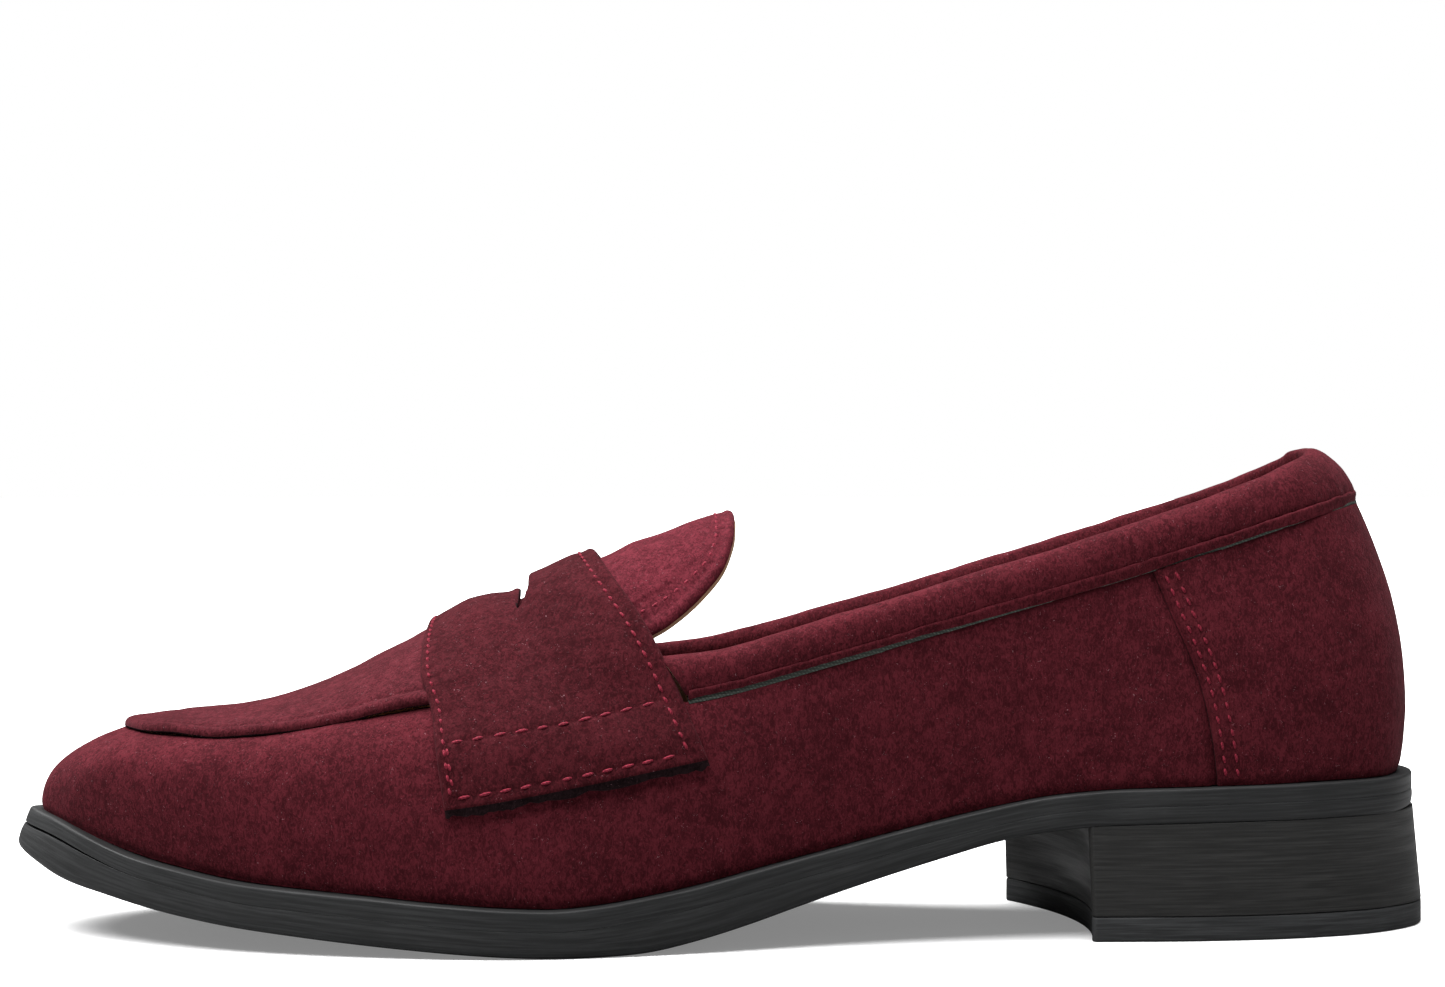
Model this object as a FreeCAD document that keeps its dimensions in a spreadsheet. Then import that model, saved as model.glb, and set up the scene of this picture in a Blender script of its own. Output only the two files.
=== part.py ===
import FreeCAD, Part
import math
import os
import Sketcher
from FreeCAD import Placement, Rotation, Vector

# Left penny loafer, women's size 38. Millimetres, toe at -X, outer side at -Y,
# ground at Z 0, origin under the middle of the shoe.

os.makedirs("parts", exist_ok=True)
doc = FreeCAD.newDocument("penny_loafer")
sheet = doc.addObject("Spreadsheet::Sheet", "sizes")

SIZES = {
    "pad_width": 110.0,
    "sole_layer": 3.1,
    "lift_thickness": 4.6,
    "groove_pitch": 4.6,
    "groove_count": 6,
    "groove_length": 60.0,
    "filler_thickness": 1.2,
    "board_thickness": 2.0,
    "foam_thickness": 2.4,
    "sock_thickness": 0.9,
    "shank_length": 88.0,
    "shank_width": 14.0,
    "shank_thickness": 1.0,
    "rivet_radius": 1.6,
    "rivet_length": 2.6,
    "nail_radius": 1.1,
    "nail_length": 16.6,
    "nail_head_radius": 2.6,
    "pin_radius": 1.0,
    "pin_length": 8.0,
    "suede": 1.1,
    "lining": 0.8,
    "stiffener": 0.8,
    "counter": 1.5,
    "thread_radius": 0.3,
    "stitch_length": 1.7,
    "stitch_pitch": 2.4,
    "box_pitch": 3.5,
}
for row, (alias, value) in enumerate(SIZES.items(), 1):
    sheet.set(f"A{row}", alias)
    sheet.set(f"B{row}", str(value))
    sheet.setAlias(f"B{row}", alias)
doc.recompute()


def size(alias):
    return float(sheet.get(alias))


# ---------------------------------------------------------------- curves
def slopes(keys, values, wrap=0.0):
    count = len(keys)
    out = []
    for i in range(count):
        before, after = i - 1, i + 1
        if wrap:
            k0 = keys[before] - (wrap if i == 0 else 0.0)
            after %= count
            k2 = keys[after] + (wrap if i == count - 1 else 0.0)
        else:
            before, after = max(before, 0), min(after, count - 1)
            k0, k2 = keys[before], keys[after]
        k1 = keys[i]
        left = (values[i] - values[before]) / (k1 - k0) if k1 > k0 else None
        right = (values[after] - values[i]) / (k2 - k1) if k2 > k1 else None
        if left is None or right is None:
            out.append(right if left is None else left)
        else:
            out.append((left * (k2 - k1) + right * (k1 - k0)) / (k2 - k0))
    return out


class Curve:
    """Smooth curve through key values, open or closed with period wrap."""

    def __init__(self, keys, values, wrap=0.0):
        self.keys, self.values, self.wrap = list(keys), list(values), wrap
        self.slope = slopes(self.keys, self.values, wrap)

    def __call__(self, t):
        keys, values, slope = self.keys, self.values, self.slope
        last = len(keys) - 1
        if self.wrap:
            t = (t - keys[0]) % self.wrap + keys[0]
        elif t <= keys[0]:
            return values[0] + slope[0] * (t - keys[0])
        elif t >= keys[last]:
            return values[last] + slope[last] * (t - keys[last])
        i = last
        while keys[i] > t:
            i -= 1
        j = i + 1
        end = keys[j] if j <= last else keys[0] + self.wrap
        j %= len(keys)
        span = end - keys[i]
        s = (t - keys[i]) / span
        a = values[i] * (1 + 2 * s) * (1 - s) ** 2 + values[j] * s * s * (3 - 2 * s)
        b = slope[i] * s * (1 - s) ** 2 - slope[j] * s * s * (1 - s)
        return a + b * span


def table(pairs):
    return Curve([p[0] for p in pairs], [p[1] for p in pairs])


def ramp(t, start, end):
    s = min(max((t - start) / (end - start), 0.0), 1.0)
    return s * s * (3 - 2 * s)


sole_top = table([(-133, 22.5), (-125, 20.6), (-117.6, 18.3), (-107.7, 15.5), (-98, 13.6), (-89, 12.2),
                  (-80, 11.4), (-66, 10.4), (-53, 9.3), (-40, 8.5), (-32, 8.3), (-25, 8.8), (-16, 10.1),
                  (-7, 11.8), (2, 13.9), (20, 18.1), (38, 22.4), (47, 24.4), (56, 26.1), (65, 27.0),
                  (84, 27.6), (102, 28.1), (133, 28.6)])
sole_low = table([(-133, 14.9), (-129, 12.9), (-123, 10.3), (-112.6, 8.0), (-101, 6.0), (-93, 4.8),
                  (-77, 3.1), (-59, 1.5), (-50, 0.8), (-42, 0.3), (-34, 0.0), (-24, 0.0), (-16, 0.5),
                  (-7, 2.3), (2, 4.7), (11, 7.5), (20, 10.3), (38, 15.6), (47, 18.1), (56, 19.8),
                  (63, 20.5), (80, 20.9), (133, 22.0)])

# Stations round the shoe: outline x, y, distance in to the upper, top of wall x, y, z,
# then how the wall bulges: rise and out at the foot, drop and out at the top.
STATIONS = [
    (-133.2, 1.0, 4.6, -112.0, 1.2, 37.7, 8.0, 0.9, 3.3, 10.3),
    (-127.2, -9.5, 4.4, -107.9, -10.4, 37.5, 8.3, 0.9, 3.3, 10.4),
    (-115.0, -19.5, 4.1, -98.8, -18.2, 37.2, 8.8, 0.8, 3.5, 10.4),
    (-95.0, -31.0, 3.6, -86.0, -23.9, 37.7, 9.0, 1.2, 3.8, 11.0),
    (-70.0, -39.5, 3.0, -67.0, -27.4, 41.0, 11.0, 1.5, 4.5, 12.0),
    (-40.0, -44.0, 2.6, -43.0, -29.8, 44.8, 13.0, 1.5, 5.5, 11.0),
    (-10.0, -39.5, 2.6, -11.0, -31.9, 44.4, 12.0, 1.0, 7.0, 6.0),
    (15.0, -33.5, 2.4, 18.0, -30.1, 51.4, 11.0, 1.0, 11.0, 2.0),
    (40.0, -30.3, 2.2, 45.0, -27.9, 59.1, 12.0, 0.9, 12.0, 1.8),
    (63.0, -29.6, 2.0, 68.0, -26.5, 65.6, 13.0, 1.0, 13.0, 2.0),
    (85.0, -29.3, 2.0, 88.0, -24.7, 71.6, 15.0, 1.6, 14.0, 3.0),
    (105.0, -27.3, 2.0, 103.0, -21.6, 76.4, 17.0, 2.4, 16.0, 6.0),
    (122.9, -18.7, 2.2, 115.0, -12.4, 79.6, 17.5, 2.8, 18.0, 7.6),
    (130.3, 0.2, 2.3, 119.6, 0.5, 80.2, 17.5, 3.2, 18.2, 8.5),
    (122.9, 19.7, 2.2, 115.0, 13.4, 79.6, 17.5, 2.8, 18.0, 7.6),
    (105.0, 28.3, 2.0, 103.0, 22.4, 76.4, 17.0, 2.4, 16.0, 6.0),
    (80.0, 26.5, 2.0, 83.0, 24.0, 70.0, 15.0, 1.6, 14.0, 2.6),
    (60.0, 24.2, 2.0, 63.0, 23.2, 64.0, 13.0, 1.4, 13.0, 1.8),
    (40.0, 24.0, 2.2, 42.0, 22.8, 58.2, 12.0, 1.4, 12.0, 1.8),
    (15.0, 28.0, 2.4, 16.0, 24.2, 50.8, 11.0, 1.2, 11.0, 2.5),
    (-10.0, 35.0, 2.6, -11.0, 27.4, 44.4, 12.0, 1.2, 7.0, 6.0),
    (-35.0, 42.0, 2.6, -38.0, 28.9, 44.8, 13.0, 1.5, 5.5, 10.0),
    (-58.0, 44.0, 2.8, -60.0, 28.5, 43.0, 12.0, 1.5, 4.8, 12.0),
    (-80.0, 40.5, 3.2, -78.0, 26.8, 38.8, 10.0, 1.4, 4.0, 11.5),
    (-100.0, 33.0, 3.8, -94.0, 22.6, 37.4, 9.0, 1.2, 3.8, 10.0),
    (-118.0, 22.0, 4.1, -104.7, 14.4, 37.4, 8.4, 0.8, 3.5, 10.4),
    (-129.2, 11.5, 4.5, -110.2, 7.5, 37.6, 8.0, 0.9, 3.3, 10.3),
]


def ring_keys():
    keys, total = [], 0.0
    count = len(STATIONS)
    for i in range(count):
        keys.append(total)
        a, b = STATIONS[i], STATIONS[(i + 1) % count]
        total += 0.5 * (math.hypot(b[0] - a[0], b[1] - a[1]) + math.hypot(b[3] - a[3], b[4] - a[4]))
    return keys, total


KEYS, LOOP = ring_keys()
RING = [Curve(KEYS, [s[k] for s in STATIONS], LOOP) for k in range(10)]
HEEL = KEYS[13]


def out_dir(u):
    """Level direction away from the shoe."""
    dx = RING[0](u + 0.5) - RING[0](u - 0.5)
    dy = RING[1](u + 0.5) - RING[1](u - 0.5)
    length = math.hypot(dx, dy)
    return Vector(dy / length, -dx / length, 0)


def feather(u, extra=0.0):
    point = Vector(RING[0](u), RING[1](u), 0) - out_dir(u) * (RING[2](u) + extra)
    point.z = sole_top(point.x) + 0.12
    return point


def gather(u):
    return Vector(RING[3](u), RING[4](u), RING[5](u))


def wall(u, v):
    foot, top, n = feather(u), gather(u), out_dir(u)
    p1 = foot + n * RING[7](u) + Vector(0, 0, RING[6](u))
    p2 = top + n * RING[9](u) - Vector(0, 0, RING[8](u))
    w = 1 - v
    return foot * w ** 3 + p1 * (3 * v * w * w) + p2 * (3 * v * v * w) + top * v ** 3


def find_u(func, target, low, high):
    """Place in low..high where func reaches target."""
    rising = func(high) > func(low)
    for _ in range(40):
        mid = 0.5 * (low + high)
        if (func(mid) < target) == rising:
            low = mid
        else:
            high = mid
    return 0.5 * (low + high)


# ---------------------------------------------------------------- top surface of apron and tongue
ridge = table([(-120, 38.3), (-112.9, 38.8), (-106.8, 39.6), (-102, 40.4), (-97.5, 40.8), (-92.8, 41.2),
               (-88, 42.1), (-83.5, 43.2), (-78.8, 44.7), (-74, 46.6), (-69.4, 48.7), (-64.8, 51.1),
               (-60, 53.5), (-56.3, 55.6), (-50, 58.2), (-44, 59.9), (-41, 60.5), (-38, 61.4), (-35, 63.3),
               (-32, 65.4), (-26, 68.0), (-22.4, 69.4), (-17.7, 71.5), (-12.9, 73.0), (-8.2, 74.9),
               (-3.5, 76.8), (1.5, 78.2), (10, 80.3)])
crown = table([(-120, 1.5), (-112, 2.2), (-98, 3.0), (-87, 3.3), (-78, 4.7), (-69, 6.8), (-60, 9.0),
               (-55.7, 10.6), (-45, 14.0), (-38, 16.8), (-30, 20.8), (-20, 25.0), (-10, 28.6), (2, 30.6)])
half = table([(-120, 24.0), (-90, 24.2), (-78, 26.4), (-69, 27.6), (-60, 28.5), (-45, 29.3), (-30, 29.8),
              (-10, 29.8), (5, 29.0)])
middle = table([(-120, 1.2), (-87, 0.5), (-60, 0.0), (-30, -1.4), (0, -2.4), (10, -2.6)])


def top_z(x, y):
    return ridge(x) - crown(x) * (abs(y - middle(x)) / half(x)) ** 2.2


def top(x, y):
    return Vector(x, y, top_z(x, y))


# ---------------------------------------------------------------- solids from surfaces
def normal_at(func, u, v, du, dv):
    a = func(u + du, v) - func(u - du, v)
    b = func(u, v + dv) - func(u, v - dv)
    n = a.cross(b)
    n.normalize()
    return n


def grid_face(points, through=True):
    """Smooth face through a grid of points, or drawn by them as poles where it turns sharply."""
    surface = Part.BSplineSurface()
    if through:
        surface.interpolate(points)
        return surface.toShape()
    knots, mults = [], []
    for count in (len(points), len(points[0])):
        steps = count - 3
        knots.append([k / steps for k in range(steps + 1)])
        mults.append([4] + [1] * (steps - 1) + [4])
    surface.buildFromPolesMultsKnots(points, mults[0], mults[1], knots[0], knots[1], False, False, 3, 3)
    return surface.toShape()


def edges_of(face):
    """The four border edges as interpolated rows: first row, last row, first column, last column."""
    surface = face.Surface
    u0, u1, v0, v1 = surface.bounds()
    return (surface.uIso(u0).toShape(), surface.uIso(u1).toShape(),
            surface.vIso(v0).toShape(), surface.vIso(v1).toShape())


def close_up(outer, inner):
    sides = [Part.makeRuledSurface(a, b, 1) for a, b in zip(edges_of(outer), edges_of(inner))]
    shell = Part.makeShell(Part.Compound([outer, inner] + sides).Faces)
    shell.sewShape()
    solid = Part.makeSolid(shell)
    if solid.Volume < 0:
        solid = solid.reversed()
    return solid


def top_normal(p):
    return normal_at(top, p.x, p.y, 0.5, 0.5)


def layer(func, nu, nv, high, low, side=1.0, facing=None, through=True):
    """Solid between two offsets of the surface func(u, v), u and v from 0 to 1."""
    outer, inner = [], []
    for i in range(nu + 1):
        u = i / nu
        row_out, row_in = [], []
        for j in range(nv + 1):
            v = j / nv
            p = func(u, v)
            n = facing(p) if facing else normal_at(func, u, v, 0.004, 0.004) * side
            a = high(u, v) if callable(high) else high
            b = low(u, v) if callable(low) else low
            row_out.append(p + n * a)
            row_in.append(p + n * b)
        outer.append(row_out)
        inner.append(row_in)
    return close_up(grid_face(outer, through), grid_face(inner, through))


def feature(label, shape):
    obj = doc.addObject("Part::Feature", label)
    obj.Shape = shape
    obj.Label = label
    obj.Placement = Placement(Vector(0, 0, 0), Rotation())
    return obj


# ---------------------------------------------------------------- sole and heel
def plane(body, role):
    return [item for item in body.Origin.OriginFeatures if item.Role == role][0]


def spline(points, closed=False):
    curve = Part.BSplineCurve()
    curve.interpolate(Points=[Vector(p[0], p[1], 0) for p in points], PeriodicFlag=closed)
    return curve


def line(a, b):
    return Part.LineSegment(Vector(a[0], a[1], 0), Vector(b[0], b[1], 0))


def polygon(points):
    return [line(points[i], points[(i + 1) % len(points)]) for i in range(len(points))]


def sketch(body, label, role, curves, offset=Placement()):
    item = body.newObject("Sketcher::SketchObject", label)
    item.AttachmentSupport = [(plane(body, role), "")]
    item.MapMode = "FlatFace"
    item.AttachmentOffset = offset
    for curve in curves:
        item.addGeometry(curve)
    return item


def pocket(body, label, profile, through=True, length="", reverse=False):
    cut = body.newObject("PartDesign::Pocket", label)
    cut.Profile = profile
    if through:
        cut.Type = "ThroughAll"
        cut.SideType = "Symmetric"
    else:
        cut.setExpression("Length", length)
        cut.Reversed = reverse
    return cut


XS = [-133, -128, -122, -115, -107, -98, -88, -78, -66, -54, -42, -32, -24, -16, -7, 2, 12, 22, 32, 42,
      50, 57, 63]
XS_HEEL = [80, 100, 120, 136]


def sole_ring(extra=None):
    points = []
    for key in KEYS:
        if extra is None:
            points.append((RING[0](key), RING[1](key)))
        else:
            toe = ramp(-RING[0](key), 110, 128)
            p = feather(key, extra + 2.2 * toe)
            points.append((p.x, p.y))
    return points


def sole_piece(label, low, high, ring, flat_low=False):
    """A full-length layer: side profile padded across, then trimmed to the ring."""
    body = doc.addObject("PartDesign::Body", label)
    body.Label = label
    xs = [-138] + XS + XS_HEEL
    lower = [(x, low(x)) for x in xs]
    upper = [(x, high(x)) for x in xs]
    start, end = (lower[0], upper[0]), (lower[-1], upper[-1])
    if flat_low:
        first, last, bend = xs.index(-32), xs.index(-24), xs.index(63)
        under = [spline(lower[:first + 1]), line(lower[first], lower[last]),
                 spline(lower[last:bend + 1]), line(lower[bend], lower[-1])]
    else:
        under = [spline(lower)]
    side = sketch(body, label + "_side", "XZ_Plane",
                  under + [line(end[0], end[1]), spline(upper), line(start[1], start[0])])
    pad = body.newObject("PartDesign::Pad", label + "_pad")
    pad.Profile = side
    pad.setExpression("Length", "sizes.pad_width")
    pad.SideType = "Symmetric"
    box = [(-150, -70), (150, -70), (150, 70), (-150, 70)]
    plan = sketch(body, label + "_plan", "XY_Plane", [spline(ring, True)] + polygon(box))
    pocket(body, label + "_trim", plan)
    return body


def holes(body, label, centres, radius, top, length):
    """Round holes down from height top."""
    item = sketch(body, label, "XY_Plane", [], Placement(Vector(0, 0, top), Rotation()))
    for i, (x, y) in enumerate(centres):
        item.addGeometry(Part.Circle(Vector(x, y, 0), Vector(0, 0, 1), size(radius)))
        index = item.addConstraint(Sketcher.Constraint("Radius", i, size(radius)))
        item.setExpression(f"Constraints[{index}]", f"sizes.{radius}")
    return pocket(body, label + "_cut", item, False, length)


def pins(label, centres, radius, base, length):
    """Round pins standing on height base, grouped in one node."""
    group = doc.addObject("Part::Compound", label)
    members = []
    for i, (x, y) in enumerate(centres):
        pin = doc.addObject("Part::Cylinder", f"{label}_{i}")
        pin.setExpression("Radius", f"sizes.{radius}")
        pin.setExpression("Height", f"sizes.{length}")
        pin.Placement = Placement(Vector(x, y, base), Rotation())
        members.append(pin)
    group.Links = members
    group.Label = label
    return group


HEEL_SLOPE = 1.5 / 70


def sole_bottom(x):
    return 20.5 + (x - 63) * HEEL_SLOPE if x > 63 else sole_low(x)


def split(x):
    return sole_top(x) - size("sole_layer") - 0.5 * ramp(x, -133, -40) * (1 - ramp(x, 0, 60))


NAILS = [(76, -15), (76, 12), (98, -17), (98, 17), (117, 0)]
PINS = [(74, -18), (72, 14), (112, -14), (112, 15)]
NAIL_BASE = 10.5

outsole = sole_piece("outsole", sole_bottom, split, sole_ring(), True)
grooves = sketch(outsole, "groove", "XZ_Plane", polygon([(-47, -1), (-45.4, -1), (-45.4, 1.2), (-47, 1.2)]))
groove_cut = outsole.newObject("PartDesign::Pocket", "groove_cut")
groove_cut.Profile = grooves
groove_cut.setExpression("Length", "sizes.groove_length")
groove_cut.SideType = "Symmetric"
pattern = outsole.newObject("PartDesign::LinearPattern", "groove_row")
pattern.Originals = [groove_cut]
pattern.Direction = (plane(outsole, "X_Axis"), [""])
pattern.setExpression("Length", "sizes.groove_pitch * (sizes.groove_count - 1)")
outsole.Tip = pattern
pattern.setExpression("Occurrences", "sizes.groove_count")
NAIL_TOP = NAIL_BASE + size("nail_length")
holes(outsole, "outsole_nail_holes", NAILS, "nail_radius", NAIL_TOP, "sizes.nail_length")

midsole = sole_piece("midsole", lambda x: split(x) + 0.02, sole_top, sole_ring())
holes(midsole, "midsole_nail_holes", NAILS, "nail_radius", NAIL_TOP + 2, "sizes.nail_length + 2")

# plan of the heel: round the back from the outer front corner to the inner one
LIFT_BACK = [(64.0, -29.4), (85, -29.5), (104, -26.8), (120.0, -20.3), (129.3, -11.0), (132.1, 0.4),
             (129.5, 12.4), (120.4, 22.9), (104, 29), (80, 27.3), (56.2, 24.6)]
SEAT_BACK = [(63.3, -29.3), (85, -29.2), (104, -27.3), (119.5, -20.9), (127.9, -11), (130.3, 0.3),
             (127.9, 11.8), (119.5, 21.9), (104, 28.2), (80, 26.4), (55.7, 24.1)]


def heel_plan(back, shift=0.0):
    points = [(x - shift, y) for x, y in back]
    mid_y = 0.5 * (points[0][1] + points[-1][1])
    mid_x = 0.5 * (points[0][0] + points[-1][0]) + 5.0
    front = Part.Arc(Vector(points[-1][0], points[-1][1], 0), Vector(mid_x, mid_y, 0),
                     Vector(points[0][0], points[0][1], 0))
    return [spline(points), front]


top_lift = doc.addObject("PartDesign::Body", "top_lift")
lift_plan = sketch(top_lift, "lift_plan", "XY_Plane", heel_plan(LIFT_BACK))
lift_pad = top_lift.newObject("PartDesign::Pad", "lift_pad")
lift_pad.Profile = lift_plan
lift_pad.setExpression("Length", "sizes.lift_thickness")
holes(top_lift, "lift_pin_holes", PINS, "pin_radius", size("lift_thickness") + 1, "sizes.lift_thickness + 2")

heel_block = doc.addObject("PartDesign::Body", "heel_block")
block_base = sketch(heel_block, "block_base", "XY_Plane", heel_plan(LIFT_BACK),
                    Placement(Vector(0, 0, size("lift_thickness")), Rotation()))
block_base.setExpression("AttachmentOffset.Base.z", "sizes.lift_thickness")
seat_tilt = Rotation(Vector(0, 1, 0), -math.degrees(math.atan(HEEL_SLOPE)))
block_seat = sketch(heel_block, "block_seat", "XY_Plane", heel_plan(SEAT_BACK, 63.0),
                    Placement(Vector(63, 0, 20.5), seat_tilt))
block_loft = heel_block.newObject("PartDesign::AdditiveLoft", "block_loft")
block_loft.Profile = block_base
block_loft.Sections = [block_seat]
block_loft.Ruled = True
holes(heel_block, "block_nail_holes", NAILS, "nail_radius", NAIL_TOP, "sizes.nail_length")
holes(heel_block, "block_pin_holes", PINS, "pin_radius", size("pin_length"), "sizes.pin_length")

heel_nails = pins("heel_nails", NAILS, "nail_radius", NAIL_BASE, "nail_length")
lift_nails = pins("lift_nails", PINS, "pin_radius", 0.0, "pin_length")

# layers inside, above the midsole
FILLER = size("filler_thickness")
BOARD = FILLER + 0.05
FOAM = BOARD + size("board_thickness") + 0.05
SOCK = FOAM + size("foam_thickness") + 0.05
INNER = 4.3
filler = sole_piece("bottom_filler", lambda x: sole_top(x) + 0.02, lambda x: sole_top(x) + FILLER,
                    sole_ring(INNER))
slot_plan = sketch(filler, "shank_slot", "XY_Plane", polygon([(-27, -8), (66, -8), (66, 8), (-27, 8)]))
pocket(filler, "shank_slot_cut", slot_plan)

RIVETS = [(-15, 0), (54, 0)]
board = sole_piece("insole_board", lambda x: sole_top(x) + BOARD,
                   lambda x: sole_top(x) + BOARD + size("board_thickness"), sole_ring(INNER))
holes(board, "board_rivet_holes", RIVETS, "rivet_radius", 60, "60 mm")
foam = sole_piece("footbed_foam", lambda x: sole_top(x) + FOAM,
                  lambda x: sole_top(x) + FOAM + size("foam_thickness"), sole_ring(INNER))
sock = sole_piece("sock_liner", lambda x: sole_top(x) + SOCK,
                  lambda x: sole_top(x) + SOCK + size("sock_thickness"), sole_ring(INNER + 0.1))

shank = doc.addObject("PartDesign::Body", "shank")
shank_xs = [-25 + 89 * i / 8 for i in range(9)]
shank_low = [(x, sole_top(x) + 0.06) for x in shank_xs]
shank_high = [(x, z + size("shank_thickness")) for x, z in shank_low]
shank_side = sketch(shank, "shank_side", "XZ_Plane",
                    [spline(shank_low), line(shank_low[-1], shank_high[-1]), spline(shank_high),
                     line(shank_high[0], shank_low[0])])
shank_pad = shank.newObject("PartDesign::Pad", "shank_pad")
shank_pad.Profile = shank_side
shank_pad.setExpression("Length", "sizes.shank_width")
shank_pad.SideType = "Symmetric"
holes(shank, "shank_rivet_holes", RIVETS, "rivet_radius", 60, "60 mm")

rivets = doc.addObject("Part::Compound", "shank_rivets")
rivet_members = []
for rivet_number, (rivet_x, rivet_y) in enumerate(RIVETS):
    rivet = doc.addObject("Part::Cylinder", f"rivet_{rivet_number}")
    rivet.setExpression("Radius", "sizes.rivet_radius")
    rivet.setExpression("Height", "sizes.rivet_length")
    rivet.Placement = Placement(Vector(rivet_x, rivet_y, sole_top(rivet_x) + 0.3), Rotation())
    rivet_members.append(rivet)
rivets.Links = rivet_members

# ---------------------------------------------------------------- side wall of the upper
seam_x = table([(26, 87.8), (38.2, 86.1), (45.4, 84.6), (52.6, 82.2), (59.9, 79.1), (67.5, 76.0), (72, 74.0)])


def seam_u(v, inner):
    low, high = (HEEL, HEEL + 95) if inner else (HEEL - 95, HEEL)

    def gap(u):
        p = wall(u, v)
        return p.x - seam_x(p.z)
    return find_u(gap, 0.0, low, high)


OUTER_SEAM = Curve([i / 8 for i in range(9)], [seam_u(i / 8, False) for i in range(9)])
INNER_SEAM = Curve([i / 8 for i in range(9)], [seam_u(i / 8, True) for i in range(9)])


def into_heel(u, v):
    """Distance past the nearer heel seam, positive on the heel's side."""
    u %= LOOP
    return u - OUTER_SEAM(v) if u < HEEL else INNER_SEAM(v) - u


def strip(start, end, low, high):
    """Wall between u start(v)..end(v) and v low(u)..high(u)."""
    def point(s, t):
        u = start(t) + s * (end(t) - start(t))
        v = low(u) + t * (high(u) - low(u))
        return wall(u, v)
    return point


def place(start, end, low, high, s, t):
    u = start(t) + s * (end(t) - start(t))
    return u, low(u) + t * (high(u) - low(u))


def wall_layer(label, start, end, low, high, nu, nv, outside, inside):
    surface = strip(start, end, low, high)

    def shift(rule):
        return lambda s, t: rule(*place(start, end, low, high, s, t))
    return feature(label, layer(surface, nu, nv, shift(outside), shift(inside)))


def under_apron(u):
    """1 where the wall's top lies under the apron or strap, 0 round the foot opening."""
    return 1 - ramp(RING[3](u), -16, -4)


def wall_top(u):
    share = under_apron(u)
    return 0.955 * share + (1 - 0.36 / RING[8](u)) * (1 - share)


def toe_near(u, reach):
    u %= LOOP
    return 1 - ramp(min(u, LOOP - u), reach - 14, reach)


LAP = 8.0
SUEDE = size("suede")
LINING = size("lining")
COUNTER = size("counter")


def full(value):
    return lambda t: value


def at_x(x, inner):
    """Loop position where the top of the wall passes x."""
    return find_u(lambda u: RING[3](u), x, *((HEEL, LOOP) if inner else (0.0, HEEL)))


vamp = wall_layer("vamp", lambda t: INNER_SEAM(t) - LAP, lambda t: LOOP + OUTER_SEAM(t) + LAP,
                  full(0.0), wall_top, 140, 10,
                  lambda u, v: -1.0 * ramp(into_heel(u, v), -9, -1.5),
                  lambda u, v: -SUEDE - 0.65 * ramp(into_heel(u, v), -9, -1.5))
heel_panel = wall_layer("heel_panel", OUTER_SEAM, INNER_SEAM, full(0.0), wall_top, 48, 10,
                        lambda u, v: 0.3 * (1 - ramp(into_heel(u, v), LAP, LAP + 8)),
                        lambda u, v: 0.3 - SUEDE - 0.3 * ramp(into_heel(u, v), LAP, LAP + 8))
toe_puff = wall_layer("toe_puff", full(LOOP - 52), full(LOOP + 52), full(0.0), full(0.9), 30, 8,
                      lambda u, v: -SUEDE - 0.1, lambda u, v: -SUEDE - 0.1 - size("stiffener"))
heel_counter = wall_layer("heel_counter", lambda t: OUTER_SEAM(t) + LAP + 2, lambda t: INNER_SEAM(t) - LAP - 2,
                          full(0.0), full(0.86), 36, 8, lambda u, v: -SUEDE - 0.12,
                          lambda u, v: -SUEDE - 0.12 - COUNTER)


def vamp_depth(u, v):
    return -SUEDE - 0.12 - 0.9 * toe_near(u, 70)


def quarter_depth(u, v):
    return -SUEDE - 0.16 - 0.65 * ramp(into_heel(u, v), -14, -6)


GRIP = -SUEDE - 0.5 - COUNTER
vamp_lining = wall_layer("vamp_lining", full(at_x(-10, True)), full(LOOP + at_x(-10, False)), full(0.0),
                         full(0.9), 70, 8, vamp_depth, lambda u, v: vamp_depth(u, v) - LINING)
lining_outer = wall_layer("quarter_lining_outer", full(at_x(-9.7, False)), lambda t: OUTER_SEAM(t) + LAP,
                          full(0.0), full(0.93), 24, 8, quarter_depth,
                          lambda u, v: quarter_depth(u, v) - LINING)
lining_inner = wall_layer("quarter_lining_inner", lambda t: INNER_SEAM(t) - LAP, full(at_x(-9.7, True)),
                          full(0.0), full(0.93), 24, 8, quarter_depth,
                          lambda u, v: quarter_depth(u, v) - LINING)
heel_grip = wall_layer("heel_grip", lambda t: OUTER_SEAM(t) - 2, lambda t: INNER_SEAM(t) + 2, full(0.0),
                       full(0.93), 44, 8, lambda u, v: GRIP, lambda u, v: GRIP - LINING)

# ---------------------------------------------------------------- apron
APRON_END = -29.5


def rim(extra, z):
    """Closed plan of the apron: the wall's top line moved out by extra, cut straight under the strap."""
    start, end = at_x(APRON_END, True), LOOP + at_x(APRON_END, False)
    points = []
    for i in range(33):
        u = start + (end - start) * i / 32
        p = gather(u) + out_dir(u) * extra
        points.append(Vector(p.x, p.y, z))
    curve = Part.BSplineCurve()
    curve.interpolate(Points=points)
    return Part.Face(Part.Wire([curve.toShape(), Part.makeLine(points[-1], points[0])]))


def sheet_top(s, t):
    return top(-119 + 92 * s, -36 + 72 * t)


apron_sheet = layer(sheet_top, 44, 24, 0.0, -1.2)
apron = feature("apron", apron_sheet.common(rim(0.9, 10).extrude(Vector(0, 0, 90))))
lining_sheet = layer(sheet_top, 44, 24, -1.35, -2.0)
apron_lining = feature("apron_lining", lining_sheet.common(rim(-4.2, 10).extrude(Vector(0, 0, 90))))


def tube(points, radius):
    curve = Part.BSplineCurve()
    curve.interpolate(Points=points)
    start = curve.tangent(curve.FirstParameter)[0]
    ring = Part.Wire([Part.Circle(points[0], start, radius).toShape()])
    return Part.Wire([curve.toShape()]).makePipeShell([ring], True, True)


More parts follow.
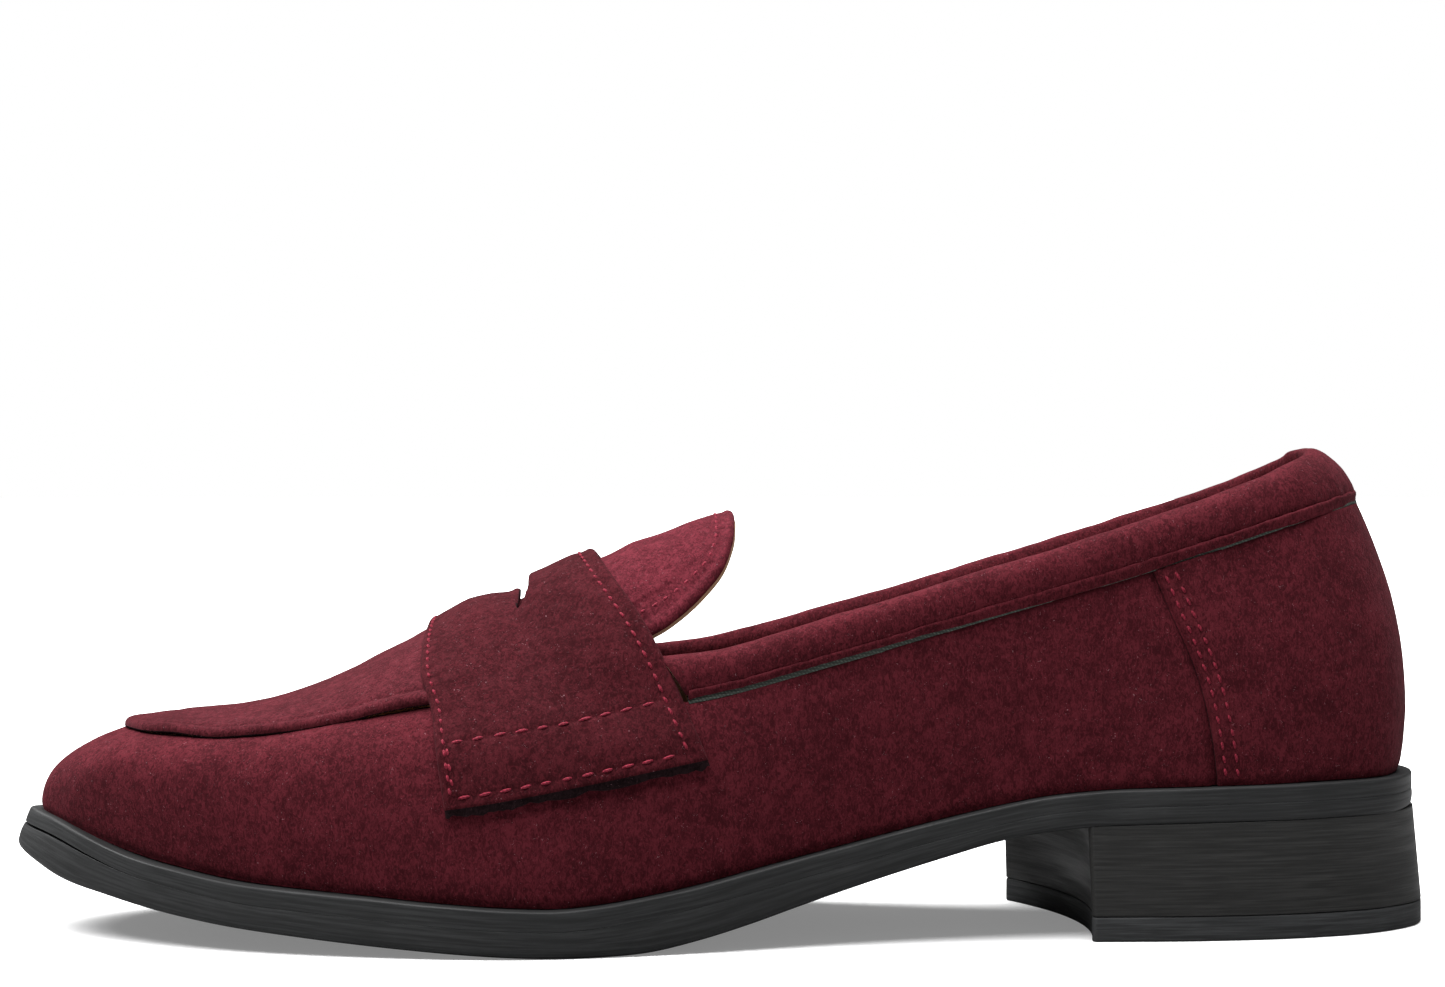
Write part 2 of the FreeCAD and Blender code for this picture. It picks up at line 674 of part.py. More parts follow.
cord_points = []
for step in range(41):
    cord_u = at_x(-36, True) + (LOOP + at_x(-36, False) - at_x(-36, True)) * step / 40
    place_in = gather(cord_u) - out_dir(cord_u) * 2.4
    n = top_normal(place_in)
    cord_points.append(top(place_in.x, place_in.y) - n * 1.95)
apron_cord = feature("apron_cord", tube(cord_points, 0.7))

# ---------------------------------------------------------------- tongue
TONGUE_ROOT = -26.8
# plan of the tongue's free edge, from its tip down one side: place, y, x
TONGUE_EDGE = [(0.2, 7.4, 0.4), (0.4, 13.8, -0.3), (0.55, 17.9, -2.4), (0.7, 20.8, -6.8), (0.85, 23.0, -12.2),
               (1.0, 24.8, -17.9)]
MIRRORED = [(-q, -y, x) for q, y, x in reversed(TONGUE_EDGE)] + [(0, 0, 0.5)] + TONGUE_EDGE
tongue_y = table([(q, y) for q, y, _ in MIRRORED])
tongue_x = table([(q, x) for q, _, x in MIRRORED])


def tongue_surface(margin):
    """Top of the tongue, its free edge moved in by margin: s across, t from root to edge."""
    def point(s, t):
        q = 2 * s - 1
        dx = tongue_x(q + 0.01) - tongue_x(q - 0.01)
        dy = tongue_y(q + 0.01) - tongue_y(q - 0.01)
        length = math.hypot(dx, dy)
        end = tongue_x(q) - dy / length * margin
        y = tongue_y(q) + dx / length * margin
        start = TONGUE_ROOT + 0.5 * margin
        x = start + t * (end - start)
        return top(x, middle(x) + y)
    return point


tongue = feature("tongue", layer(tongue_surface(0.0), 40, 12, 0.0, -1.1, 1.0, top_normal))
tongue_padding = feature("tongue_padding", layer(tongue_surface(3.2), 40, 12, -1.2, -2.0, 1.0, top_normal))
tongue_lining = feature("tongue_lining", layer(tongue_surface(0.5), 40, 12, -2.1, -2.7, 1.0, top_normal))

# ---------------------------------------------------------------- strap
bump = table([(0, 1.35), (0.073, 1.5), (0.185, 2.1), (0.277, 2.5), (0.36, 2.4), (0.42, 2.15), (0.48, 1.9),
              (0.58, 3.5), (0.62, 3.6), (0.67, 3.25), (0.73, 2.8), (0.81, 2.85), (0.87, 2.5), (0.93, 2.05),
              (1, 1.6)])
strap_front = table([(0, -56.0), (0.15, -56.5), (0.35, -56.6), (0.6, -56.3), (0.8, -54.4),
                     (1, -51.6)])


def strap_x(a, drop):
    front = strap_front(drop)
    rear = -24.6 + 18.9 * drop
    return front + a * (rear - front)


def strap_points(a, inner):
    """Points of the strap's path from the top centre down one side, on the upper's surface."""
    sign = 1.0 if inner else -1.0
    points = []
    for eta in (0.0, 0.16, 0.32, 0.48, 0.63, 0.76, 0.86):
        drop = 0.76 * eta ** 2.2
        x = strap_x(a, drop)
        y = middle(x) + sign * eta * half(x)
        n = top_normal(Vector(x, y, 0))
        points.append(top(x, y) + n * strap_lift(a, eta * 0.55))
    low, high = (HEEL, LOOP) if inner else (0.0, HEEL)
    bottom = 25.6 + 8.2 * a ** 1.15
    for part in (0.12, 0.32, 0.54, 0.77, 1.0):
        x = strap_x(a, 0.80 + 0.20 * part)
        z = 43.0 + (bottom - 43.0) * part
        u = find_u(lambda w: wall(w, find_u(lambda v: wall(w, v).z, z, 0.2, 1.0)).x, x, low + 1, high - 1)
        v = find_u(lambda v: wall(u, v).z, z, 0.2, 1.0)
        n = normal_at(wall, u, v, 0.5, 0.01)
        points.append(wall(u, v) + n * strap_lift(a, 0.6 + 0.4 * part))
    return points


def strap_lift(a, q):
    """Height of the strap's outer face over the upper."""
    centre = 1 - ramp(q, 0.17, 0.42)
    rear = ramp(a, 0.6, 0.9) * (1 - ramp(q, 0.5, 0.68))
    return 1.35 + max((bump(a) - 1.35) * centre, 1.05 * rear, 0.5 * ramp(q, 0.66, 0.84))


STRAP_A = [0, 0.12, 0.25, 0.38, 0.5, 0.62, 0.74, 0.86, 0.94, 1.0]


def strap_paths():
    paths = []
    for a in STRAP_A:
        outer_side, inner_side = strap_points(a, False), strap_points(a, True)
        points = outer_side[:0:-1] + inner_side
        length = [0.0]
        for p, q in zip(points, points[1:]):
            length.append(length[-1] + (q - p).Length)
        centre = length[len(outer_side) - 1]
        keys = [(k - centre) / (centre if k < centre else length[-1] - centre) for k in length]
        paths.append([Curve(keys, [p[axis] for p in points]) for axis in range(3)])
    return paths


PATHS = strap_paths()


def strap(a, b):
    """Outer face of the strap: a from front to rear edge, b from -1 outer side to 1 inner side."""
    return Vector(*(Curve(STRAP_A, [path[axis](b) for path in PATHS])(a) for axis in range(3)))


def strap_patch(a0, a1, b0, b1):
    return lambda s, t: strap(a0 + s * (a1 - a0), b0 + t * (b1 - b0))


def strap_depth(s, t):
    """The strap is doubled at its two sewn ends."""
    return -1.0 - 0.5 * ramp(abs(2 * t - 1), 0.82, 0.96)


strap_body = layer(strap_patch(0, 1, -1, 1), 22, 56, 0.0, strap_depth)
slot_face = Part.Face(Part.Wire([Part.makeLine(Vector(-41, -12, 40), Vector(-41, 10, 40)),
                                 Part.Arc(Vector(-41, 10, 40), Vector(-39.5, 13, 40),
                                          Vector(-38, 10, 40)).toShape(),
                                 Part.makeLine(Vector(-38, 10, 40), Vector(-38, -12, 40)),
                                 Part.Arc(Vector(-38, -12, 40), Vector(-39.5, -15, 40),
                                          Vector(-41, -12, 40)).toShape()]))
saddle = feature("saddle_strap", strap_body.cut(slot_face.extrude(Vector(0, 0, 50))))
backing = feature("strap_backing", layer(strap_patch(0.66, 0.945, -0.36, 0.36), 8, 24, -1.18, -1.6))

# ---------------------------------------------------------------- collar round the foot opening
band_height = table([(-12, 7.4), (0, 7.1), (18, 7.5), (36, 7.8), (55, 8.0), (73, 8.4), (92, 9.0), (103, 9.3),
                     (112, 9.6), (119.6, 9.3)])
band_lean = table([(-12, 0.8), (60, 0.9), (85, 1.4), (103, 3.3), (114, 6.2), (119.6, 7.8)])
band_sink = table([(-12, 0.4), (18, 0.5), (55, 0.6), (85, 1.0), (100, 1.3), (112, 0.7), (119.6, 0.0)])
BAND = [(0.0, 0.4, 0.03), (0.12, 1.1, 0.27), (0.25, 1.1, 0.62), (0.36, 0.3, 0.88), (0.47, -1.4, 1.0),
        (0.57, -3.1, 0.97), (0.68, -4.3, 0.75), (0.82, -4.8, 0.4), (1.0, -4.4, -0.2)]
band_out = table([(b[0], b[1]) for b in BAND])
band_up = table([(b[0], b[2]) for b in BAND])


def band(u, w):
    base, n = gather(u), out_dir(u)
    tall = band_height(base.x) - (band_sink(base.x) if u % LOOP > HEEL else 0.0)
    up = band_up(w) * tall
    return base + n * (band_out(w) - band_lean(base.x) * max(up, 0.0) / tall) + Vector(0, 0, up)


def band_start(w, inner):
    drop = max(band_up(w), 0.0) * 7.4
    return at_x(-8.3 - 0.56 * drop, inner)


def band_patch(w0, w1, trim):
    def point(s, t):
        w = w0 + t * (w1 - w0)
        start, end = band_start(w, False) + trim, band_start(w, True) - trim
        return band(start + s * (end - start), w)
    return point


collar = feature("topline_collar", layer(band_patch(0, 1, 0), 90, 24, 0.0, -0.8, through=False))


def grid(func, nu, nv, depth):
    rows = []
    for i in range(nu + 1):
        row = []
        for j in range(nv + 1):
            n = normal_at(func, i / nu, j / nv, 0.004, 0.004)
            row.append(func(i / nu, j / nv) - n * depth)
        rows.append(row)
    return grid_face(rows, False)


collar_foam = feature("collar_foam", close_up(grid(band_patch(0.05, 0.46, 1.5), 64, 8, 0.9),
                                              grid(band_patch(0.9, 0.54, 1.5), 64, 8, -0.9)))


def ribbon(z0, z1, tilt):
    """Strip along the wall's top line, z0..z1 over that line, leaning with the wall below it by tilt."""
    start, end = at_x(-9.0, False), at_x(-9.0, True)

    def point(s, t):
        u = start + s * (end - start)
        z = z0 + t * (z1 - z0)
        return gather(u) - out_dir(u) * (tilt * z * RING[9](u) / RING[8](u)) + Vector(0, 0, z)
    return point


piping = feature("topline_piping", layer(ribbon(0.1, 1.2, 0.0), 90, 3, 1.5, 0.95))
tape = feature("topline_tape", layer(ribbon(-0.9, 0.05, 1.0), 90, 3, 0.0, -0.6))


# ---------------------------------------------------------------- stitches
def row(func, start, end, pitch="stitch_pitch", lift=0.42):
    """Thread along func(t): short straight stitches just clear of the surface."""
    marks, total = [0.0], 0.0
    last = func(start)[0]
    for i in range(1, 201):
        here = func(start + (end - start) * i / 200)[0]
        total += (here - last).Length
        marks.append(total)
        last = here
    count = int(total / size(pitch))
    solids = []
    for i in range(count):
        ends = []
        for offset in (0.0, size("stitch_length")):
            want = (i + 0.15) * total / count + offset
            k = max(j for j in range(201) if marks[j] <= want)
            k = min(k, 199)
            t = (k + (want - marks[k]) / (marks[k + 1] - marks[k])) / 200
            point, normal = func(start + (end - start) * t)
            ends.append(point + normal * lift)
        run = ends[1] - ends[0]
        solids.append(Part.makeCylinder(size("thread_radius"), run.Length, ends[0], run))
    return solids


def on_strap(a_of, b_of):
    def point(t):
        a, b = a_of(t), b_of(t)
        n = normal_at(strap, a, b, 0.004, 0.004)
        return strap(a, b), n
    return point


def stitched(label, solids):
    return feature(label, Part.Compound(solids))


strap_rows = row(on_strap(full(0.045), lambda t: t), -0.96, 0.96)
strap_rows += row(on_strap(full(0.915), lambda t: t), -0.96, 0.96)
for flank in (-1, 1):
    for level in (0.79, 0.968):
        strap_rows += row(on_strap(lambda t: t, full(flank * level)), 0.08, 0.89, "box_pitch")
stitched("strap_stitches", strap_rows)


def on_tongue(t):
    point = tongue_surface(2.0)(t, 1.0)
    return point, top_normal(point)


stitched("tongue_stitches", row(on_tongue, 0.04, 0.96))


def on_seam(inner, away):
    def point(v):
        u = INNER_SEAM(v) - away if inner else OUTER_SEAM(v) + away
        n = normal_at(wall, u, v, 0.5, 0.01)
        return wall(u, v) + n * 0.3, n
    return point


for seam_name, seam_inner in (("seam_stitches_outer", False), ("seam_stitches_inner", True)):
    stitched(seam_name, row(on_seam(seam_inner, 1.3), 0.03, 0.94) + row(on_seam(seam_inner, 3.3), 0.03, 0.94))

# ---------------------------------------------------------------- export
doc.recompute()
NODES = ["outsole", "midsole", "heel_block", "top_lift", "heel_nails", "lift_nails", "bottom_filler", "shank",
         "shank_rivets", "insole_board", "footbed_foam", "sock_liner", "vamp", "heel_panel", "apron",
         "apron_lining", "apron_cord", "tongue", "tongue_padding", "tongue_lining", "tongue_stitches",
         "saddle_strap", "strap_backing", "strap_stitches", "toe_puff", "heel_counter", "vamp_lining",
         "quarter_lining_outer", "quarter_lining_inner", "heel_grip", "topline_collar", "collar_foam",
         "topline_piping", "topline_tape", "seam_stitches_outer", "seam_stitches_inner"]
for item in doc.Objects:
    if "Invalid" in item.State or "Error" in item.State:
        raise RuntimeError(f"{item.Label} did not rebuild")
for name in NODES:
    node = doc.getObjectsByLabel(name)[0]
    shape = node.Shape
    if shape.isNull() or not shape.isValid() or not shape.Solids:
        raise RuntimeError(f"{name} has no valid solid")
    shape.exportStep(f"parts/{name}.step")
    print(name, len(shape.Solids), round(shape.Volume, 1))
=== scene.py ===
import math

import bmesh
import bpy
import numpy as np
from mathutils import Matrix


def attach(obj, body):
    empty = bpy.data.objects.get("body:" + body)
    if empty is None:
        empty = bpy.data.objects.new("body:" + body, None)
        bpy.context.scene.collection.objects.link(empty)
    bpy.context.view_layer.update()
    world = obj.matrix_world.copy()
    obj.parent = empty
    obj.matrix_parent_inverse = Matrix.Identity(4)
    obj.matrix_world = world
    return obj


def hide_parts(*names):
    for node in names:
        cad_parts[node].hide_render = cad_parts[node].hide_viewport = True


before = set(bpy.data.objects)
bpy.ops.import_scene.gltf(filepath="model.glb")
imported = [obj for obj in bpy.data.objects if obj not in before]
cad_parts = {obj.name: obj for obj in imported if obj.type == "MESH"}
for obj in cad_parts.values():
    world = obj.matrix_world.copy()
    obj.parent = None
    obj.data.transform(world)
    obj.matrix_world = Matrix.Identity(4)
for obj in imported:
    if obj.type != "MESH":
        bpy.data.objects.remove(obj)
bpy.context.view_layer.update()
MM = 0.001


# ---------------------------------------------------------------- smooth curves (all lengths in mm)
def slopes(keys, values, wrap=0.0):
    """Slope at each key, from the spans on both sides of it."""
    if wrap:
        keys = np.concatenate([keys[-1:] - wrap, keys, keys[:1] + wrap])
        values = np.concatenate([values[-1:], values, values[:1]])
    span = np.diff(keys).reshape(-1, *([1] * (values.ndim - 1)))
    rate = np.diff(values, axis=0) / span
    inner = (rate[:-1] * span[1:] + rate[1:] * span[:-1]) / (span[:-1] + span[1:])
    return inner if wrap else np.concatenate([rate[:1], inner, rate[-1:]])


def cubic(s, span, start, end, start_slope, end_slope):
    """Smooth value a share s of the way along a span, and straight on past its ends."""
    inside = np.clip(s, 0, 1)
    beyond = (s - inside) * span
    value = start * (1 + 2 * inside) * (1 - inside) ** 2 + end * inside ** 2 * (3 - 2 * inside)
    rise = start_slope * inside * (1 - inside) ** 2 - end_slope * inside ** 2 * (1 - inside)
    return value + rise * span + np.where(beyond > 0, end_slope, start_slope) * beyond


class Curve:
    """Smooth curve through values at keys; values may be rows of several numbers."""

    def __init__(self, keys, values, wrap=0.0):
        self.keys = np.array(keys, float)
        self.values = np.array(values, float)
        self.wrap = wrap
        self.slope = slopes(self.keys, self.values, wrap)

    def __call__(self, t):
        t = np.asarray(t, float)
        keys, values, slope, count = self.keys, self.values, self.slope, len(self.keys)
        if self.wrap:
            t = (t - keys[0]) % self.wrap + keys[0]
            i = np.clip(np.searchsorted(keys, t, "right") - 1, 0, count - 1)
            j = (i + 1) % count
            span = np.where(j == 0, keys[0] + self.wrap - keys[i], keys[j] - keys[i])
        else:
            i = np.clip(np.searchsorted(keys, t, "right") - 1, 0, count - 2)
            j = i + 1
            span = keys[j] - keys[i]
        s = (t - keys[i]) / span
        if values.ndim > 1:
            s, span = s[..., None], span[..., None]
        return cubic(s, span, values[i], values[j], slope[i], slope[j])


def table(pairs):
    return Curve([p[0] for p in pairs], [p[1] for p in pairs])


def ramp(t, start, end):
    s = np.clip((np.asarray(t, float) - start) / (end - start), 0, 1)
    return s * s * (3 - 2 * s)


sole_top = table([(-133, 22.5), (-125, 20.6), (-117.6, 18.3), (-107.7, 15.5), (-98, 13.6), (-89, 12.2),
                  (-80, 11.4), (-66, 10.4), (-53, 9.3), (-40, 8.5), (-32, 8.3), (-25, 8.8), (-16, 10.1),
                  (-7, 11.8), (2, 13.9), (20, 18.1), (38, 22.4), (47, 24.4), (56, 26.1), (65, 27.0),
                  (84, 27.6), (102, 28.1), (133, 28.6)])
sole_low = table([(-133, 14.9), (-129, 12.9), (-123, 10.3), (-112.6, 8.0), (-101, 6.0), (-93, 4.8),
                  (-77, 3.1), (-59, 1.5), (-50, 0.8), (-42, 0.3), (-34, 0.0), (-24, 0.0), (-16, 0.5),
                  (-7, 2.3), (2, 4.7), (11, 7.5), (20, 10.3), (38, 15.6), (47, 18.1), (56, 19.8),
                  (63, 20.5), (80, 20.9), (133, 22.0)])

# Stations round the shoe: outline x, y, distance in to the upper, top of wall x, y, z,
# then how the wall bulges: rise and out at the foot, drop and out at the top.
STATIONS = np.array([
    (-133.2, 1.0, 4.6, -112.0, 1.2, 37.7, 8.0, 0.9, 3.3, 10.3),
    (-127.2, -9.5, 4.4, -107.9, -10.4, 37.5, 8.3, 0.9, 3.3, 10.4),
    (-115.0, -19.5, 4.1, -98.8, -18.2, 37.2, 8.8, 0.8, 3.5, 10.4),
    (-95.0, -31.0, 3.6, -86.0, -23.9, 37.7, 9.0, 1.2, 3.8, 11.0),
    (-70.0, -39.5, 3.0, -67.0, -27.4, 41.0, 11.0, 1.5, 4.5, 12.0),
    (-40.0, -44.0, 2.6, -43.0, -29.8, 44.8, 13.0, 1.5, 5.5, 11.0),
    (-10.0, -39.5, 2.6, -11.0, -31.9, 44.4, 12.0, 1.0, 7.0, 6.0),
    (15.0, -33.5, 2.4, 18.0, -30.1, 51.4, 11.0, 1.0, 11.0, 2.0),
    (40.0, -30.3, 2.2, 45.0, -27.9, 59.1, 12.0, 0.9, 12.0, 1.8),
    (63.0, -29.6, 2.0, 68.0, -26.5, 65.6, 13.0, 1.0, 13.0, 2.0),
    (85.0, -29.3, 2.0, 88.0, -24.7, 71.6, 15.0, 1.6, 14.0, 3.0),
    (105.0, -27.3, 2.0, 103.0, -21.6, 76.4, 17.0, 2.4, 16.0, 6.0),
    (122.9, -18.7, 2.2, 115.0, -12.4, 79.6, 17.5, 2.8, 18.0, 7.6),
    (130.3, 0.2, 2.3, 119.6, 0.5, 80.2, 17.5, 3.2, 18.2, 8.5),
    (122.9, 19.7, 2.2, 115.0, 13.4, 79.6, 17.5, 2.8, 18.0, 7.6),
    (105.0, 28.3, 2.0, 103.0, 22.4, 76.4, 17.0, 2.4, 16.0, 6.0),
    (80.0, 26.5, 2.0, 83.0, 24.0, 70.0, 15.0, 1.6, 14.0, 2.6),
    (60.0, 24.2, 2.0, 63.0, 23.2, 64.0, 13.0, 1.4, 13.0, 1.8),
    (40.0, 24.0, 2.2, 42.0, 22.8, 58.2, 12.0, 1.4, 12.0, 1.8),
    (15.0, 28.0, 2.4, 16.0, 24.2, 50.8, 11.0, 1.2, 11.0, 2.5),
    (-10.0, 35.0, 2.6, -11.0, 27.4, 44.4, 12.0, 1.2, 7.0, 6.0),
    (-35.0, 42.0, 2.6, -38.0, 28.9, 44.8, 13.0, 1.5, 5.5, 10.0),
    (-58.0, 44.0, 2.8, -60.0, 28.5, 43.0, 12.0, 1.5, 4.8, 12.0),
    (-80.0, 40.5, 3.2, -78.0, 26.8, 38.8, 10.0, 1.4, 4.0, 11.5),
    (-100.0, 33.0, 3.8, -94.0, 22.6, 37.4, 9.0, 1.2, 3.8, 10.0),
    (-118.0, 22.0, 4.1, -104.7, 14.4, 37.4, 8.4, 0.8, 3.5, 10.4),
    (-129.2, 11.5, 4.5, -110.2, 7.5, 37.6, 8.0, 0.9, 3.3, 10.3),
])
STEP = np.roll(STATIONS, -1, 0) - STATIONS
STEP = 0.5 * (np.hypot(STEP[:, 0], STEP[:, 1]) + np.hypot(STEP[:, 3], STEP[:, 4]))
KEYS = np.concatenate([[0], np.cumsum(STEP)[:-1]])
LOOP = float(STEP.sum())
HEEL = float(KEYS[13])
RING = Curve(KEYS, STATIONS, LOOP)
UP = np.array([0.0, 0.0, 1.0])


def unit(v):
    return v / np.maximum(np.linalg.norm(v, axis=-1, keepdims=True), 1e-9)


def along_line(points):
    """Distance of each point along a line, from its first point."""
    return np.concatenate([[0], np.cumsum(np.linalg.norm(np.diff(points, axis=0), axis=1))])


def out_dir(u):
    """Level direction away from the shoe."""
    d = RING(np.asarray(u) + 0.5) - RING(np.asarray(u) - 0.5)
    return unit(np.stack([d[..., 1], -d[..., 0], 0 * d[..., 0]], -1))


def outline(u, distance=0.0):
    r = RING(u)
    p = np.stack([r[..., 0], r[..., 1], 0 * r[..., 0]], -1)
    return p - out_dir(u) * np.asarray(distance)[..., None]


def gather(u):
    return RING(u)[..., 3:6]


def wall(u, v):
    u, v = np.broadcast_arrays(np.asarray(u, float), np.asarray(v, float))
    r, n = RING(u), out_dir(u)
    foot = outline(u, r[..., 2])
    foot[..., 2] = sole_top(foot[..., 0]) + 0.12
    top_p = r[..., 3:6]
    p1 = foot + n * r[..., 7:8] + UP * r[..., 6:7]
    p2 = top_p + n * r[..., 9:10] - UP * r[..., 8:9]
    v = v[..., None]
    w = 1 - v
    return foot * w ** 3 + p1 * (3 * v * w * w) + p2 * (3 * v * v * w) + top_p * v ** 3


def normal_of(surface, a, b, step_a, step_b):
    """Outward normals of surface(a, b), from points a step to either side."""
    along = surface(a + step_a, b) - surface(a - step_a, b)
    across = surface(a, b + step_b) - surface(a, b - step_b)
    return unit(np.cross(along, across))


def wall_normal(u, v):
    return normal_of(wall, u, v, 0.5, 0.01)


def solve(func, target, low, high):
    """Where func reaches target, element by element, between low and high."""
    target = np.asarray(target, float)
    low = np.zeros_like(target) + low
    high = np.zeros_like(target) + high
    rising = func(high) > func(low)
    for _ in range(36):
        mid = 0.5 * (low + high)
        below = (func(mid) < target) == rising
        low, high = np.where(below, mid, low), np.where(below, high, mid)
    return 0.5 * (low + high)


def at_x(x, inner):
    return solve(lambda u: RING(u)[..., 3], x, *((HEEL, LOOP) if inner else (0.0, HEEL)))


ridge = table([(-120, 38.3), (-112.9, 38.8), (-106.8, 39.6), (-102, 40.4), (-97.5, 40.8), (-92.8, 41.2),
               (-88, 42.1), (-83.5, 43.2), (-78.8, 44.7), (-74, 46.6), (-69.4, 48.7), (-64.8, 51.1),
               (-60, 53.5), (-56.3, 55.6), (-50, 58.2), (-44, 59.9), (-41, 60.5), (-38, 61.4), (-35, 63.3),
               (-32, 65.4), (-26, 68.0), (-22.4, 69.4), (-17.7, 71.5), (-12.9, 73.0), (-8.2, 74.9), (-3.5, 76.8),
               (1.5, 78.2), (10, 80.3)])
crown = table([(-120, 1.5), (-112, 2.2), (-98, 3.0), (-87, 3.3), (-78, 4.7), (-69, 6.8), (-60, 9.0),
               (-55.7, 10.6), (-45, 14.0), (-38, 16.8), (-30, 20.8), (-20, 25.0), (-10, 28.6), (2, 30.6)])
half = table([(-120, 24.0), (-90, 24.2), (-78, 26.4), (-69, 27.6), (-60, 28.5), (-45, 29.3), (-30, 29.8),
              (-10, 29.8), (5, 29.0)])
middle = table([(-120, 1.2), (-87, 0.5), (-60, 0.0), (-30, -1.4), (0, -2.4), (10, -2.6)])


def top(x, y):
    z = ridge(x) - crown(x) * (np.abs(y - middle(x)) / half(x)) ** 2.2
    return np.stack(np.broadcast_arrays(x, y, z), -1)


def top_normal(x, y):
    return normal_of(top, x, y, 0.5, 0.5)


# ---------------------------------------------------------------- smooth random relief
def relief(points, size, seed):
    """Smooth noise from -1 to 1 at points, with features about size mm wide."""
    draw = np.random.default_rng(seed)
    total = np.zeros(points.shape[:-1])
    for octave in range(3):
        for _ in range(5):
            direction = unit(draw.normal(size=3))
            wave = 2 * math.pi / (size * (0.6 ** octave) * draw.uniform(0.8, 1.3))
            total += np.sin(points @ direction * wave + draw.uniform(0, 6.28)) * 0.55 ** octave
    return total / 5.5


# ---------------------------------------------------------------- meshes
def grid_faces(rows, cols, closed_rows=False, closed_cols=False, start=0):
    i = np.arange(rows if closed_rows else rows - 1)
    j = np.arange(cols if closed_cols else cols - 1)
    i, j = np.meshgrid(i, j, indexing="ij")
    i2, j2 = (i + 1) % rows, (j + 1) % cols
    quads = np.stack([i * cols + j, i2 * cols + j, i2 * cols + j2, i * cols + j2], -1)
    return quads.reshape(-1, 4) + start


def build(name, verts, faces, materials, body="shoe", indices=None, run=None, hides=()):
    """Piece from points in mm, riding on body; it stands for the node of its own name and those in hides."""
    mesh = bpy.data.meshes.new(name)
    mesh.from_pydata((np.asarray(verts) * MM).tolist(), [], [list(map(int, f)) for f in faces])
    if run is not None:
        layer = mesh.attributes.new("run", "FLOAT_VECTOR", "POINT")
        layer.data.foreach_set("vector", (np.asarray(run) * MM).astype(np.float32).ravel())
    for m in materials:
        mesh.materials.append(m)
    if indices is not None:
        mesh.polygons.foreach_set("material_index", np.asarray(indices, np.int32))
    bm = bmesh.new()
    bm.from_mesh(mesh)
    bmesh.ops.remove_doubles(bm, verts=bm.verts, dist=1e-6)
    bmesh.ops.recalc_face_normals(bm, faces=bm.faces)
    bm.to_mesh(mesh)
    bm.free()
    mesh.polygons.foreach_set("use_smooth", [True] * len(mesh.polygons))
    obj = bpy.data.objects.new(name, mesh)
    bpy.context.scene.collection.objects.link(obj)
    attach(obj, body)
    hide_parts(name, *hides)
    return obj


def shell(outer, inner, keep=None):
    """Closed sheet between two grids: vertices, faces and which faces are outer, inner or rim."""
    rows, cols = outer.shape[:2]
    verts = np.concatenate([outer.reshape(-1, 3), inner.reshape(-1, 3)])
    quads = grid_faces(rows, cols)
    if keep is not None:
        quads = quads[keep.reshape(-1)]
    offset = rows * cols
    edges = np.concatenate([quads[:, [k, (k + 1) % 4]] for k in range(4)])
    code = edges[:, 0].astype(np.int64) * (2 * offset) + edges[:, 1]
    twin = edges[:, 1].astype(np.int64) * (2 * offset) + edges[:, 0]
    border = edges[~np.isin(code, twin)]
    rim = np.stack([border[:, 1], border[:, 0], border[:, 0] + offset, border[:, 1] + offset], -1)
    faces = np.concatenate([quads, quads[:, ::-1] + offset, rim])
    kinds = np.concatenate([np.zeros(len(quads)), np.ones(len(quads)), np.full(len(rim), 2)]).astype(int)
    used = np.unique(faces)
    remap = np.zeros(len(verts), int)
    remap[used] = np.arange(len(used))
    return verts[used], remap[faces], kinds


def edge_distances(points):
    """Distances in mm to the first row, last row, first column and last column of a grid."""
    rows = np.linalg.norm(np.diff(points, axis=0), axis=-1)
    cols = np.linalg.norm(np.diff(points, axis=1), axis=-1)
    down = np.concatenate([np.zeros((1, points.shape[1])), np.cumsum(rows, 0)])
    along = np.concatenate([np.zeros((points.shape[0], 1)), np.cumsum(cols, 1)], 1)
    return down, down[-1:] - down, along, along[:, -1:] - along


EDGE_STEPS = np.array([0, 0.08, 0.22, 0.42, 0.7, 1.05, 1.4, 1.75, 2.05, 2.35, 2.7, 3.1, 3.7])


def spread(length, step, start=True, end=True, extra=()):
    """Sample places 0..1 along a length in mm: close together near the ends and extra places, step elsewhere."""
    places = list(np.linspace(0, length, max(int(length / step), 2) + 1))
    close = []
    if start:
        close += list(EDGE_STEPS)
    if end:
        close += list(length - EDGE_STEPS)
    for e in extra:
        close += list(e + np.linspace(-1.4, 1.4, 9))
    close = [c for c in close if 0 <= c <= length]
    kept = [p for p in places if all(abs(p - c) > 0.45 * step for c in close)]
    merged = sorted(set([0.0, length] + kept + close))
    out = [merged[0]]
    for p in merged[1:]:
        if p - out[-1] > 0.05:
            out.append(p)
    out[-1] = length
    return np.array(out) / length


def rounding(distance, radius):
    """How far a rounded edge has fallen at a distance from the border."""
    s = np.clip(1 - distance / radius, 0, 1)
    return radius * (1 - np.sqrt(1 - s * s))


def wall_at(u, v, depth=0.0):
    u, v, depth = np.broadcast_arrays(u, v, depth)
    return wall(u, v) + wall_normal(u, v) * depth[..., None]


# ---------------------------------------------------------------- heel seams, strap and collar surfaces
seam_x = table([(26, 87.8), (38.2, 86.1), (45.4, 84.6), (52.6, 82.2), (59.9, 79.1), (67.5, 76.0), (72, 74.0)])


def seam_curve(inner):
    v = np.linspace(0, 1, 9)
    low, high = (HEEL, HEEL + 95) if inner else (HEEL - 95, HEEL)

    def gap(u):
        p = wall(u, v)
        return p[..., 0] - seam_x(p[..., 2])
    return Curve(v, solve(gap, 0 * v, low, high))


OUTER_SEAM, INNER_SEAM = seam_curve(False), seam_curve(True)


def into_heel(u, v):
    u = u % LOOP
    return np.where(u < HEEL, u - OUTER_SEAM(v), INNER_SEAM(v) - u)


